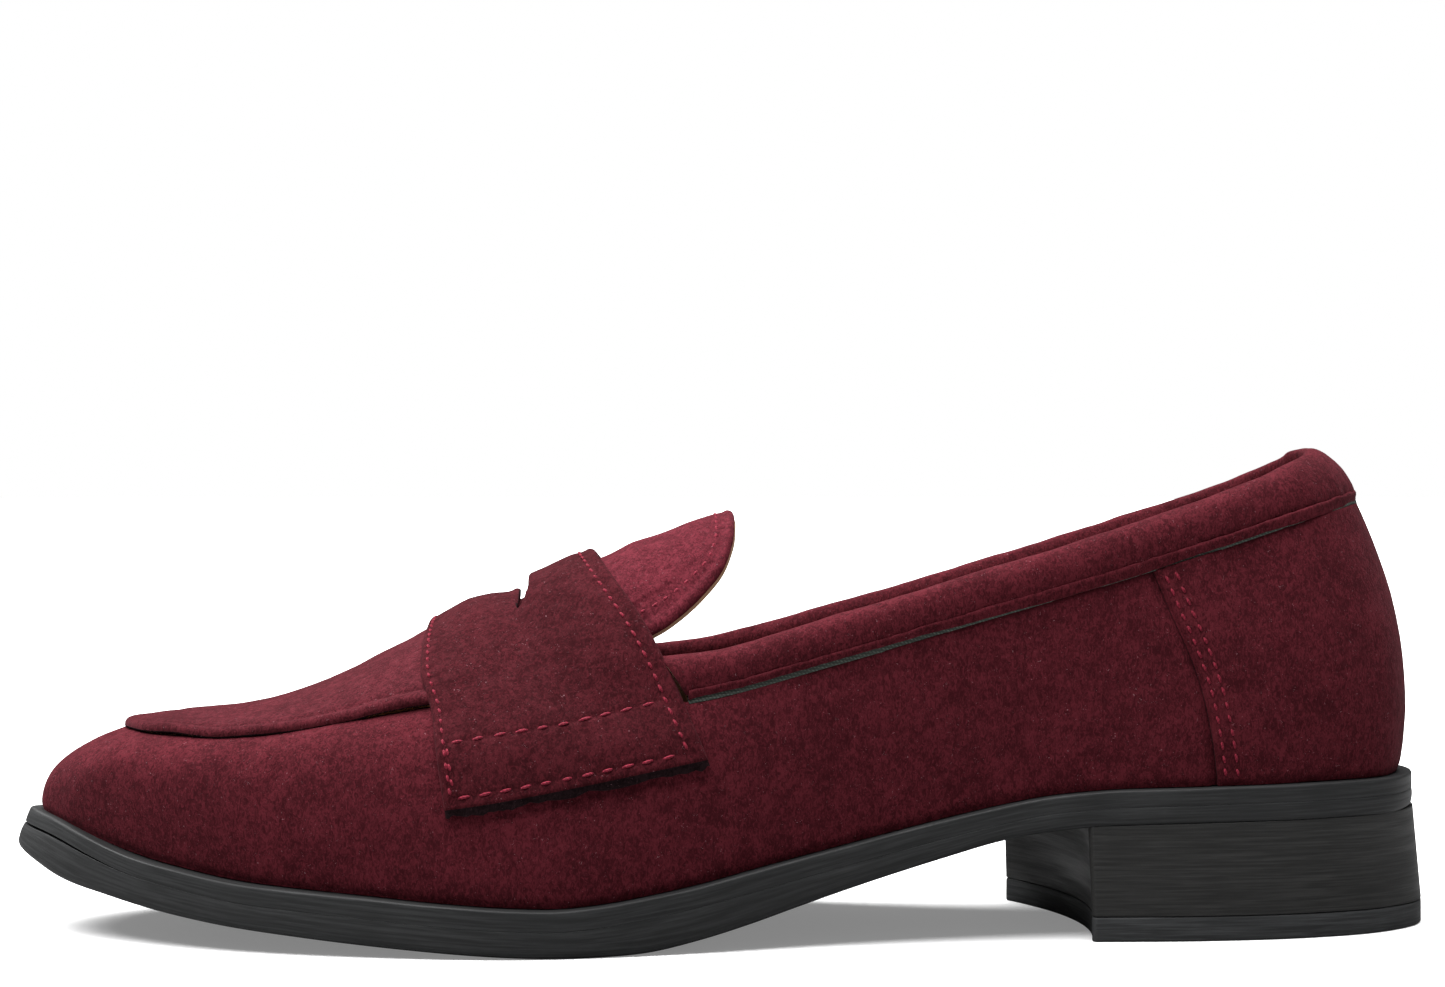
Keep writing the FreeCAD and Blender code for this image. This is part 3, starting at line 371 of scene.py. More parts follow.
def wall_top(u):
    share = 1 - ramp(RING(u)[..., 3], -16, -4)
    return 0.985 * share + (1 - 0.36 / RING(u)[..., 8]) * (1 - share)


bump = table([(0, 1.35), (0.073, 1.5), (0.185, 2.1), (0.277, 2.5), (0.36, 2.4), (0.42, 2.15), (0.48, 1.9),
              (0.58, 3.5), (0.62, 3.6), (0.67, 3.25), (0.73, 2.8), (0.81, 2.85), (0.87, 2.5), (0.93, 2.05),
              (1, 1.6)])
strap_front = table([(0, -56.0), (0.15, -56.5), (0.35, -56.6), (0.6, -56.3), (0.8, -54.4), (1, -51.6)])
STRAP_A = np.array([0, 0.12, 0.25, 0.38, 0.5, 0.62, 0.74, 0.86, 0.94, 1.0])


def strap_x(a, drop):
    front = strap_front(drop)
    rear = -24.6 + 18.9 * drop
    return front + a * (rear - front)


def strap_lift(a, q):
    centre = 1 - ramp(q, 0.17, 0.42)
    rear = ramp(a, 0.6, 0.9) * (1 - ramp(q, 0.5, 0.68))
    low = 0.5 * ramp(q, 0.66, 0.84)
    return 1.35 + np.maximum(np.maximum((bump(a) - 1.35) * centre, 1.05 * rear), low)


def strap_side(inner):
    a = STRAP_A[:, None]
    eta = np.array([[0, 0.16, 0.32, 0.48, 0.63, 0.76, 0.86]])
    sign = 1.0 if inner else -1.0
    x = strap_x(a, 0.76 * eta ** 2.2)
    y = middle(x) + sign * eta * half(x)
    upper = top(x, y) + top_normal(x, y) * strap_lift(a, eta * 0.55)[..., None]
    part = np.array([[0.12, 0.32, 0.54, 0.77, 1.0]])
    x = strap_x(a, 0.80 + 0.20 * part)
    z = 43.0 + (25.6 + 8.2 * a ** 1.15 - 43.0) * part
    low, high = (HEEL, LOOP) if inner else (0.0, HEEL)

    def height(u):
        return solve(lambda v: wall(u, v)[..., 2], z, 0.2, 1.0)
    u = solve(lambda w: wall(w, height(w))[..., 0], x, low + 1, high - 1)
    lower = wall_at(u, height(u), strap_lift(a, 0.6 + 0.4 * part))
    return np.concatenate([upper, lower], 1)


def strap_paths():
    outer, inner = strap_side(False), strap_side(True)
    paths = []
    for i in range(len(STRAP_A)):
        points = np.concatenate([outer[i][:0:-1], inner[i]])
        length = along_line(points)
        centre = length[outer.shape[1] - 1]
        keys = np.where(length < centre, (length - centre) / centre, (length - centre) / (length[-1] - centre))
        paths.append(Curve(keys, points))
    return paths


PATHS = strap_paths()


def strap(a, b):
    """Outer face of the strap: a from front to rear edge, b from -1 outer side to 1 inner side."""
    a, b = np.broadcast_arrays(np.asarray(a, float), np.asarray(b, float))
    values = np.stack([path(b) for path in PATHS])
    keys = STRAP_A
    slope = slopes(keys, values)
    i = np.clip(np.searchsorted(keys, a, "right") - 1, 0, len(keys) - 2)
    span = (keys[i + 1] - keys[i])[..., None]
    ends = [np.take_along_axis(rows, (i + k)[None, ..., None], 0)[0] for rows in (values, slope) for k in (0, 1)]
    return cubic((a - keys[i])[..., None] / span, span, *ends)


def strap_normal(a, b):
    return normal_of(strap, a, b, 0.004, 0.004)


band_height = table([(-12, 7.4), (0, 7.1), (18, 7.5), (36, 7.8), (55, 8.0), (73, 8.4), (92, 9.0), (103, 9.3),
                     (112, 9.6), (119.6, 9.3)])
band_lean = table([(-12, 0.8), (60, 0.9), (85, 1.4), (103, 3.0), (114, 5.4), (119.6, 6.4)])
band_sink = table([(-12, 0.4), (18, 0.8), (40, 1.1), (55, 0.7), (85, 1.0), (100, 1.3), (112, 0.7), (119.6, 0.0)])
BAND = [(0.0, 0.4, 0.03), (0.12, 1.1, 0.27), (0.25, 1.1, 0.62), (0.36, 0.3, 0.88), (0.47, -1.4, 1.0),
        (0.57, -3.1, 0.97), (0.68, -4.3, 0.75), (0.82, -4.8, 0.4), (1.0, -4.4, -0.2)]
band_out = table([(b[0], b[1]) for b in BAND])
band_up = table([(b[0], b[2]) for b in BAND])


def band(u, w):
    base, n = gather(u), out_dir(u)
    tall = band_height(base[..., 0]) - np.where(u % LOOP > HEEL, band_sink(base[..., 0]), 0.0)
    up = band_up(w) * tall
    out = band_out(w) - band_lean(base[..., 0]) * np.maximum(up, 0) / tall
    return base + n * out[..., None] + UP * up[..., None]


def band_normal(u, w):
    return normal_of(band, u, w, 0.5, 0.01)


def band_start(w, inner):
    return at_x(-9.3 - 0.56 * np.maximum(band_up(w), 0.0) * 7.4, inner)


# plan of the tongue's free edge, from its tip down one side: place, y, x
TONGUE_ROOT = -26.8
TONGUE_EDGE = [(0.2, 7.4, 0.4), (0.4, 13.8, -0.3), (0.55, 17.9, -2.4), (0.7, 20.8, -6.8), (0.85, 23.0, -12.2),
               (1.0, 24.8, -17.9)]
MIRRORED = [(-q, -y, x) for q, y, x in reversed(TONGUE_EDGE)] + [(0, 0, 0.5)] + TONGUE_EDGE
tongue_y = table([(q, y) for q, y, _ in MIRRORED])
tongue_x = table([(q, x) for q, _, x in MIRRORED])


def tongue_plan(q, margin):
    """Plan x and y (from the middle line) of the tongue's edge, moved in by margin."""
    dx = tongue_x(q + 0.01) - tongue_x(q - 0.01)
    dy = tongue_y(q + 0.01) - tongue_y(q - 0.01)
    length = np.hypot(dx, dy)
    return tongue_x(q) - dy / length * margin, tongue_y(q) + dx / length * margin


# ---------------------------------------------------------------- materials
class Shade:
    """A node material under construction."""

    def __init__(self, name):
        self.mat = bpy.data.materials.new(name)
        self.mat.use_nodes = True
        self.tree = self.mat.node_tree
        self.tree.nodes.clear()
        self.shader = self.add("ShaderNodeBsdfPrincipled")
        out = self.add("ShaderNodeOutputMaterial")
        self.join(self.shader.outputs[0], out.inputs["Surface"])
        self.place = self.add("ShaderNodeTexCoord").outputs["Object"]

    def add(self, kind, **fields):
        node = self.tree.nodes.new(kind)
        for key, value in fields.items():
            setattr(node, key, value)
        return node

    def join(self, source, target):
        self.tree.links.new(source, target)

    def put(self, target, value):
        if isinstance(value, bpy.types.NodeSocket):
            self.join(value, target)
        elif isinstance(value, tuple) and len(value) == 3 and target.type == "RGBA":
            target.default_value = (*value, 1.0)
        else:
            target.default_value = value

    def attribute(self, name):
        return self.add("ShaderNodeAttribute", attribute_name=name).outputs["Vector"]

    def stretch(self, scale, place=None):
        node = self.add("ShaderNodeMapping")
        self.join(place or self.place, node.inputs["Vector"])
        node.inputs["Scale"].default_value = scale
        return node.outputs["Vector"]

    def noise(self, size, detail=4.0, rough=0.55, place=None, distort=0.0):
        """Noise whose features are about size mm wide."""
        node = self.add("ShaderNodeTexNoise")
        self.join(place or self.place, node.inputs["Vector"])
        node.inputs["Scale"].default_value = 1000.0 / size
        node.inputs["Detail"].default_value = detail
        node.inputs["Roughness"].default_value = rough
        node.inputs["Distortion"].default_value = distort
        return node.outputs["Fac"]

    def rubbed_edge_and_highlight(self):
        """High on convex edges, where they get rubbed; on the sole it also lays a painted edge highlight."""
        return self.add("ShaderNodeNewGeometry").outputs["Pointiness"]

    def wave(self, place, scale, distort):
        node = self.add("ShaderNodeTexWave", wave_type="BANDS", bands_direction="DIAGONAL")
        self.join(place, node.inputs["Vector"])
        node.inputs["Scale"].default_value = scale
        node.inputs["Distortion"].default_value = distort
        return node.outputs["Fac"]

    def cells(self, size):
        node = self.add("ShaderNodeTexVoronoi", feature="F1")
        self.join(self.place, node.inputs["Vector"])
        node.inputs["Scale"].default_value = 1000.0 / size
        return node.outputs["Distance"]

    def step(self, value, low, high, to_low=0.0, to_high=1.0):
        node = self.add("ShaderNodeMapRange", interpolation_type="SMOOTHSTEP")
        self.join(value, node.inputs["Value"])
        for socket, number in (("From Min", low), ("From Max", high), ("To Min", to_low), ("To Max", to_high)):
            node.inputs[socket].default_value = number
        return node.outputs["Result"]

    def mix(self, fac, a, b):
        node = self.add("ShaderNodeMix", data_type="RGBA")
        self.put(node.inputs[0], fac)
        self.put(node.inputs[6], a)
        self.put(node.inputs[7], b)
        return node.outputs[2]

    def math(self, operation, *values):
        node = self.add("ShaderNodeMath", operation=operation)
        for socket, value in zip(node.inputs, values):
            self.put(socket, value)
        return node.outputs[0]

    def bump(self, height, depth, strength=1.0, after=None):
        """Relief of depth mm."""
        node = self.add("ShaderNodeBump")
        self.join(height, node.inputs["Height"])
        node.inputs["Distance"].default_value = depth * MM
        node.inputs["Strength"].default_value = strength
        if after:
            self.join(after, node.inputs["Normal"])
        return node.outputs["Normal"]

    def finish(self, colour, tints, dents, rough, **sockets):
        """Lays tints over the colour, as (texture, low, high, cover at low, cover at high, tint), and presses in
        dents, as (texture, depth, strength)."""
        for texture, low, high, to_low, to_high, tint in tints:
            colour = self.mix(self.step(texture, low, high, to_low, to_high), colour, tint)
        normal = None
        for texture, depth, strength in dents:
            normal = self.bump(texture, depth, strength, normal)
        self.put(self.shader.inputs["Base Color"], colour)
        self.put(self.shader.inputs["Roughness"], rough)
        self.join(normal, self.shader.inputs["Normal"])
        for key, value in sockets.items():
            name = key.replace("_", " ")
            target = self.shader.inputs[name]
            target.default_value = (*value, 1.0) if target.type == "RGBA" else value
        return self.mat


def times(colour, factor):
    return tuple(min(c * factor, 1.0) for c in colour)


def suede(name, base, nap=1.0, fuzz=1.0):
    """Napped suede: blotches where the nap lies differently, short fibres, a few pale specks."""
    s = Shade(name)
    pale = (base[0] * 1.60, base[1] * 1.62, base[2] * 1.62)
    blotch = s.noise(9.0, 3.0, 0.5)
    mottle = s.noise(2.2, 3.0, 0.6, distort=0.6)
    fibre = s.noise(0.55, 3.0, 0.65, place=s.stretch((1.0, 1.0, 0.55)), distort=1.2)
    fine = s.noise(0.22, 2.0, 0.6)
    shade = s.math("MULTIPLY", blotch, 0.16)
    for texture, weight in ((mottle, 0.22), (fibre, 0.62)):
        shade = s.math("MULTIPLY_ADD", texture, weight, shade)
    colour = s.mix(0.2, s.mix(s.step(shade, 0.40, 0.62), times(base, 0.46), pale), base)
    specks = s.noise(0.5, 1.0, 0.4, distort=2.0)
    tints = [(specks, 0.735, 0.79, 0.0, 0.35, (0.42, 0.22, 0.25)), (s.rubbed_edge_and_highlight(), 0.515, 0.60, 0.0, 0.35, pale)]
    dents = [(fine, 0.10, 0.5 * nap), (fibre, 0.22, 0.55 * nap), (mottle, 0.30, 0.40 * nap)]
    return s.finish(colour, tints, dents, s.step(mottle, 0.3, 0.7, 0.98, 0.86), Specular_IOR_Level=0.04,
                    Sheen_Weight=0.05 * fuzz, Sheen_Roughness=0.45, Sheen_Tint=(0.85, 0.32, 0.38))


def leather(name, base, grain=0.9, gloss=0.45):
    s = Shade(name)
    pores = s.cells(grain)
    crease = s.noise(5.0, 4.0, 0.55, distort=0.4)
    cloud = s.noise(16.0, 3.0, 0.5)
    tints = [(cloud, 0.35, 0.7, 0.0, 1.0, times(base, 1.12)), (pores, 0.0, 0.35, 0.35, 0.0, times(base, 0.5))]
    return s.finish(times(base, 0.8), tints, [(pores, 0.10, 0.5), (crease, 0.35, 0.35)],
                    s.step(crease, 0.3, 0.7, gloss, gloss + 0.22), Specular_IOR_Level=0.35)


def rubber(name, base, streak=1.0, gloss=0.5):
    """Dark moulded sole: fine streaks along the edge, faint scratches and scuffs, and convex edges lightened partly
    as wear, partly as a painted highlight.
    """
    s = Shade(name)
    run = s.attribute("run")
    lines = s.noise(0.55, 4.0, 0.6, place=s.stretch((0.035, 1.0, 1.0), run))
    broad = s.noise(3.0, 3.0, 0.5, place=s.stretch((0.08, 1.0, 1.0), run))
    dust = s.noise(0.35, 3.0, 0.7)
    cloud = s.noise(12.0, 4.0, 0.6)
    # The last tint lightens convex edges: partly scuffed wear, partly a painted highlight along the sole's rims.
    tints = [(lines, 0.35, 0.68, 0.0, 1.0, times(base, 1.55)), (cloud, 0.35, 0.7, 0.0, 0.5, times(base, 0.75)),
             (dust, 0.66, 0.78, 0.0, 0.30, times(base, 3.2)),
             (s.rubbed_edge_and_highlight(), 0.52, 0.62, 0.0, 0.25, times(base, 2.0))]
    dents = [(lines, 0.10 * streak, 0.6), (broad, 0.16 * streak, 0.4), (dust, 0.04, 0.5)]
    return s.finish(times(base, 0.62), tints, dents, s.step(broad, 0.3, 0.7, gloss, gloss + 0.18),
                    Specular_IOR_Level=0.22)


def thread(name, base):
    s = Shade(name)
    run = s.attribute("run")
    twist = s.wave(run, 900.0, 1.0)
    fuzz = s.noise(0.15, 2.0, 0.6)
    tints = [(fuzz, 0.55, 0.75, 0.0, 0.5, times(base, 1.8))]
    return s.finish(s.mix(twist, times(base, 0.55), times(base, 1.2)), tints, [(twist, 0.10, 0.7)],
                    s.step(fuzz, 0.3, 0.7, 0.55, 0.8), Specular_IOR_Level=0.12)


def woven(name, base, pitch=0.45):
    """Plain weave of thin yarns."""
    s = Shade(name)
    yarns = [s.wave(s.stretch(scale), 314.0 / pitch, 0.8) for scale in ((1.0, 0.0, 0.7), (0.0, 1.0, 1.0))]
    weave = s.math("MULTIPLY", *yarns)
    cloud = s.noise(4.0, 4.0, 0.6)
    tints = [(cloud, 0.4, 0.7, 0.0, 0.4, times(base, 0.7))]
    return s.finish(s.mix(weave, times(base, 0.5), times(base, 1.3)), tints, [(weave, 0.12, 0.8)],
                    s.step(cloud, 0.3, 0.7, 0.8, 0.95), Specular_IOR_Level=0.15)


def fibreboard(name, base, size=0.8):
    s = Shade(name)
    flecks = s.noise(size, 5.0, 0.7, distort=1.5)
    cloud = s.noise(7.0, 3.0, 0.5)
    tints = [(flecks, 0.4, 0.65, 0.0, 1.0, times(base, 1.25)), (cloud, 0.4, 0.7, 0.0, 0.4, times(base, 0.8))]
    return s.finish(times(base, 0.6), tints, [(flecks, 0.15, 0.6)], s.step(cloud, 0.3, 0.7, 0.75, 0.95),
                    Specular_IOR_Level=0.2)


def metal(name, base):
    s = Shade(name)
    brush = s.noise(0.3, 3.0, 0.6, place=s.stretch((0.05, 1.0, 1.0)))
    stain = s.noise(2.5, 3.0, 0.5)
    return s.finish(base, [(stain, 0.4, 0.7, 0.0, 1.0, times(base, 0.7))], [(brush, 0.02, 0.5)],
                    s.step(brush, 0.3, 0.7, 0.28, 0.5), Metallic=1.0)


SUEDE = suede("burgundy_suede", (0.0600, 0.0082, 0.0122))
# Copies of one suede: the apron and strap copies are darker as painted shade, and the tongue copy is brighter as
# painted light.
SUEDE_APRON_PAINTED_SHADE = suede("burgundy_suede_apron_painted_shade", (0.0560, 0.0084, 0.0122), 1.05, 1.3)
SUEDE_STRAP_PAINTED_SHADE = suede("burgundy_suede_strap_painted_shade", (0.0410, 0.0056, 0.0082), 0.95, 0.8)
SUEDE_TONGUE_PAINTED_LIGHT = suede("burgundy_suede_tongue_painted_light", (0.0820, 0.0112, 0.0175), 1.0, 1.4)
# Near-black suede for rims and cut edges: partly the dark raw edge, partly painted shade under the apron's rolled
# rim and the strap's edge.
SUEDE_RAW_EDGE_AND_PAINTED_SHADE = suede("burgundy_suede_raw_edge_and_painted_shade", (0.010, 0.0050, 0.0058), 1.3, 0.5)
TAN = leather("tan_lining", (0.42, 0.27, 0.17), 0.8, 0.5)
TAN_SOCK = leather("tan_sock", (0.36, 0.235, 0.15), 1.1, 0.48)
GREY_LINING = woven("grey_backing", (0.055, 0.055, 0.058), 0.5)
SOLE = rubber("black_sole", (0.0175, 0.0180, 0.0184), 1.0, 0.5)
HEEL_STACK = rubber("black_heel_block", (0.0195, 0.0193, 0.0187), 1.6, 0.5)
LIFT = rubber("black_top_lift", (0.0310, 0.0320, 0.0332), 0.8, 0.6)
THREAD = thread("crimson_thread", (0.215, 0.0170, 0.0340))
TAPE = woven("grey_green_tape", (0.080, 0.092, 0.080), 0.35)
STEEL = metal("plain_steel", (0.55, 0.55, 0.56))
BOARD = fibreboard("insole_fibreboard", (0.36, 0.25, 0.16))
FELT = fibreboard("felt_filler", (0.22, 0.20, 0.18), 0.5)
PLASTIC = leather("stiffener_sheet", (0.66, 0.62, 0.55), 0.6, 0.5)


# ---------------------------------------------------------------- sole and heel
RIBS = 420
T = np.linspace(0, 1, RIBS + 1)
LOOP_U = np.concatenate([T * HEEL, (LOOP - T * (LOOP - HEEL))[-2:0:-1]])
TOE_LEAN, TOE_LIP = 2.7, 0.1
GROOVE_START, GROOVE_WIDTH, GROOVE_PITCH, GROOVE_COUNT, GROOVE_TOP = -47, 1.6, 4.6, 6, 1.2
LIFT_TOP = 4.6


def slab(name, place, rows, high, low, material, across=30, grooved=False, leaning_toe=False, hides=()):
    """Closed layer. place(distance) gives the loop moved in; rows go from the top face to the underside:
    (distance in, share of the height from the top, extra drop in mm)."""
    loops, runs = [], []
    down = 0.0
    last = None
    for distance, share, drop in rows:
        p = place(distance)
        z0, z1 = high(p), low(p)
        p[:, 2] = z0 + (z1 - z0) * share - drop
        if leaning_toe:
            foot, crest = sole_bottom(p[:, 0]), sole_top(p[:, 0])
            share_up = np.clip((p[:, 2] - foot) / (crest - foot), 0, 1)
            back = (TOE_LEAN * share_up - TOE_LIP) * ramp(-RING(LOOP_U)[:, 0], 108, 130)
            p -= out_dir(LOOP_U) * back[:, None]
        if last is not None:
            down += float(np.linalg.norm(p - last, axis=1).mean())
        last = p.copy()
        arc = along_line(p)
        loops.append(p)
        runs.append(np.stack([arc, np.full(len(p), down), 0 * arc], 1))
    count = len(LOOP_U)
    verts, run = [np.concatenate(loops)], [np.concatenate(runs)]
    faces = [grid_faces(len(rows), count, closed_cols=True)]
    start = len(rows) * count
    for end, height in ((0, high), (len(rows) - 1, low)):
        ring = loops[end]
        left, right = ring[:RIBS + 1], np.concatenate([ring[:1], ring[:RIBS - 1:-1]])
        mix = np.linspace(0, 1, across + 1)[None, :, None]
        cap = left[:, None] * (1 - mix) + right[:, None] * mix
        flat = cap.reshape(-1, 3)
        inner_z = height(flat).reshape(cap.shape[:2]) - rows[end][2]
        if grooved and end:
            inner_z = inner_z + groove_relief(cap)
        cap[:, 1:-1, 2] = inner_z[:, 1:-1]
        verts.append(cap.reshape(-1, 3))
        run.append(flat * np.array([1, 1, 0]))
        faces.append(grid_faces(RIBS + 1, across + 1, start=start))
        start += cap.shape[0] * cap.shape[1]
    return build(name, np.concatenate(verts), np.concatenate(faces), [material], run=np.concatenate(run),
                 hides=hides)


def seat_low(x):
    """Underside of the heel seat."""
    return 20.5 + (x - 63) * 1.5 / 70


def sole_bottom(x):
    return np.where(x > 63, seat_low(x), sole_low(x) + 0.5 * ramp(-x, 100, 124))


def split(x):
    return sole_top(x) - 3.1 - 0.5 * ramp(x, -133, -40) * (1 - ramp(x, 0, 60))


def edge_rows(near, far, middle_rows, belly=0.0):
    """Rows of a layer with rounded upper and lower corners of radii near and far."""
    rows = [(9.0, 0.0, 0.0), (5.0, 0.0, 0.0), (3.0, 0.0, 0.0), (near + 0.8, 0.0, 0.0)]
    for k in range(6):
        angle = math.pi / 2 * k / 5
        rows.append((near * (1 - math.sin(angle)), 0.0, near * (1 - math.cos(angle))))
    for k in range(1, middle_rows):
        f = k / middle_rows
        rows.append((-belly * 4 * f * (1 - f), f, near * (1 - f) - far * f))
    for k in range(6):
        angle = math.pi / 2 * (1 - k / 5)
        rows.append((far * (1 - math.sin(angle)), 1.0, -far * (1 - math.cos(angle))))
    return rows + [(far + 0.8, 1.0, 0.0), (3.0, 1.0, 0.0), (6.0, 1.0, 0.0), (10.0, 1.0, 0.0)]


def plan_loop(distance):
    return outline(LOOP_U, distance)


def high_of(func):
    return lambda p: func(p[..., 0])


def groove_relief(cap):
    x = cap[..., 0]
    depth = np.zeros_like(x)
    for k in range(GROOVE_COUNT):
        middle_x = GROOVE_START + GROOVE_WIDTH / 2 + GROOVE_PITCH * k
        depth = np.maximum(depth, 1 - ramp(np.abs(x - middle_x), 0.55, 1.05))
    return depth * np.clip(GROOVE_TOP - sole_low(x), 0, None) * (1 - ramp(np.abs(cap[..., 1]), 28, 30.5))


slab("midsole", plan_loop, edge_rows(0.45, 0.08, 4, 0.05), high_of(sole_top),
     lambda p: split(p[..., 0]) + 0.02 + 0.42 * (1 - ramp(p[..., 0], -127, -104)), SOLE,
     leaning_toe=True)
slab("outsole", plan_loop, edge_rows(0.08, 1.3, 10, 0.12), high_of(split), high_of(sole_bottom), SOLE,
     60, True, True)

LIFT_BACK = [(64.0, -29.4), (85, -29.5), (104, -26.8), (120.0, -20.3), (129.3, -11.0), (132.1, 0.4),
             (129.5, 12.4), (120.4, 22.9), (104, 29), (80, 27.3), (56.2, 24.6)]
SEAT_BACK = [(63.3, -29.3), (85, -29.2), (104, -27.3), (119.5, -20.9), (127.9, -11), (130.3, 0.3),
             (127.9, 11.8), (119.5, 21.9), (104, 28.2), (80, 26.4), (55.7, 24.1)]


def heel_plan(back):
    """Closed plan of the heel: round back, then the hollow front, corners eased."""
    points = np.array(back, float)
    keys = along_line(points)
    curve = Curve(keys, points)
    rear = curve(np.linspace(0.7, keys[-1] - 0.7, 360))
    a, b = points[-1], points[0]
    mid = 0.5 * (a + b) + np.array([5.0, 0.0])
    t = np.linspace(0.015, 0.985, 90)[:, None]
    front = a * (1 - t) ** 2 + (2 * mid - 0.5 * (a + b)) * 2 * t * (1 - t) + b * t ** 2
    loop = np.concatenate([rear, front])
    return np.column_stack([loop, np.zeros(len(loop))])


def inward(loop):
    d = np.roll(loop, -1, 0) - np.roll(loop, 1, 0)
    return unit(np.stack([-d[:, 1], d[:, 0], 0 * d[:, 0]], 1))


def heel_piece(name, low_plan, high_plan, low_z, high_z, material, steps, radius):
    """Closed layer of the heel between two plans and two heights, its edges rounded."""
    rows, runs = [], []
    profile = [(2.0, 0.0, 0.0)]
    angles = [k * math.pi / 8 for k in range(5)]
    turn = [(radius * (1 - math.sin(angle)), radius * (1 - math.cos(angle))) for angle in angles]
    profile += [(inset, 0.0, rise) for inset, rise in turn]
    profile += [(0.0, k / steps, radius * (1 - 2 * k / steps)) for k in range(1, steps)]
    profile += [(inset, 1.0, -drop) for drop, inset in turn]
    profile += [(2.0, 1.0, 0.0)]
    for distance, share, rise in profile:
        loop = low_plan * (1 - share) + high_plan * share
        p = loop + inward(loop) * distance
        z0, z1 = low_z(p[:, 0]), high_z(p[:, 0])
        p[:, 2] = z0 + (z1 - z0) * share + rise
        arc = along_line(p)
        rows.append(p)
        runs.append(np.stack([arc, p[:, 2], 0 * arc], 1))
    count = len(low_plan)
    verts = np.concatenate(rows + [rows[0].mean(0)[None], rows[-1].mean(0)[None]])
    run = np.concatenate(runs + [runs[0][:1], runs[-1][:1]])
    faces = [list(f) for f in grid_faces(len(rows), count, closed_cols=True)]
    base, last = len(rows) * count, (len(rows) - 1) * count
    for k in range(count):
        faces.append([base, (k + 1) % count, k])
        faces.append([base + 1, last + k, last + (k + 1) % count])
    build(name, verts, faces, [material], run=run)


lift_plan, seat_plan = heel_plan(LIFT_BACK), heel_plan(SEAT_BACK)
heel_piece("top_lift", lift_plan, lift_plan, lambda x: 0 * x, lambda x: LIFT_TOP - 0.05 + 0 * x, LIFT,
           4, 0.45)
heel_piece("heel_block", lift_plan, seat_plan, lambda x: LIFT_TOP + 0 * x, lambda x: seat_low(x) + 0.3,
           HEEL_STACK, 14, 0.15)


# ---------------------------------------------------------------- the upper
def sheet_piece(name, outer, inner, materials, body="shoe", hides=()):
    """Closed piece between two grids; materials are for the outer face, the inner face and the rim."""
    verts, faces, kinds = shell(outer, inner)
    return build(name, verts, faces, materials, body, np.minimum(kinds, len(materials) - 1), hides=hides)


def cover(start, end, high, along, up):
    """Loop places and shares of the wall's height, from line start(t) to line end(t) and up to high(u)."""
    s, t = np.meshgrid(along, up, indexing="ij")
    u = start(t) + s * (end(t) - start(t))
    return u, t * high(u)


LAP = 8.0
SUEDE_THICK, LINING_THICK = 1.1, 0.8
STITCH = 2.4
SEAM_ROWS = (1.3, 3.3)
THREAD_RADIUS = 0.29


def dimples(distance, along, level, depth=0.2):
    """Dents where a row of thread pulls the surface down."""
    line = np.exp(-((distance - level) / 0.55) ** 2)
    holes = 0.6 + 0.4 * np.cos(2 * math.pi * along / STITCH)
    return -depth * line * holes


u, v = cover(lambda t: INNER_SEAM(t) - LAP, lambda t: LOOP + OUTER_SEAM(t) + LAP, wall_top,
             spread(470, 1.1, extra=(LAP, 470 - LAP)), spread(46, 0.9, True, False))
surface = wall_at(u, v)
rise = np.linalg.norm(surface - surface[:, :1], axis=-1)
past = into_heel(u, v)
depth = -1.0 * ramp(past, -2.2, 0.6) - 0.35 * np.exp(-(rise / 1.1) ** 2)
depth += 0.20 * relief(surface, 26, 11) * ramp(rise, 1, 8) + 0.05 * relief(surface, 9, 12)
sheet_piece("vamp", wall_at(u, v, depth), wall_at(u, v, -SUEDE_THICK - 0.65 * ramp(past, -9, -1.5)),
            [SUEDE, TAN, SUEDE_RAW_EDGE_AND_PAINTED_SHADE])

u, v = cover(OUTER_SEAM, INNER_SEAM, wall_top, spread(150, 1.0, extra=(1.3, 3.3, 146.7, 148.7)),
             spread(54, 0.55, True, False))
surface = wall_at(u, v)
rise = np.linalg.norm(surface - surface[:, :1], axis=-1)
past = into_heel(u, v)
depth = 0.42 * (1 - ramp(past, LAP, LAP + 8)) - rounding(past, 0.75) * 0.95
depth += sum(dimples(past, rise, row) for row in SEAM_ROWS)
depth += 0.22 * relief(surface, 30, 13) * ramp(past, 4, 12) + 0.05 * relief(surface, 8, 14)
depth -= 0.35 * np.exp(-(rise / 1.1) ** 2)
inner_depth = 0.3 - SUEDE_THICK - 0.3 * ramp(past, LAP, LAP + 8)
sheet_piece("heel_panel", wall_at(u, v, depth), wall_at(u, v, inner_depth), [SUEDE, TAN, SUEDE_RAW_EDGE_AND_PAINTED_SHADE])


def lining(name, start, end, high, depth, material=TAN, step=2.0):
    """Lining of the wall, wrinkled on its inner face."""
    u, v = cover(start, end, lambda u: high + 0 * u, spread(160, step), spread(46, 1.6))
    surface = wall_at(u, v)
    over = depth(u, v)
    wrinkle = 0.10 * relief(surface, 14, 31) + 0.04 * relief(surface, 5, 32)
    d0, d1, _, d3 = edge_distances(surface)
    edge = 0.35 * rounding(np.minimum(np.minimum(d0, d1), d3), 0.8)
    under = over - LINING_THICK + wrinkle + edge
    sheet_piece(name, wall_at(u, v, over), wall_at(u, v, under), [material])


def level(x, inner, turns=0):
    """Line up the wall where its top edge is at x."""
    u = float(at_x(x, inner)) + turns * LOOP
    return lambda t: u + 0 * t


def quarter_depth(u, v):
    return -1.26 - 0.65 * ramp(into_heel(u, v), -14, -6)


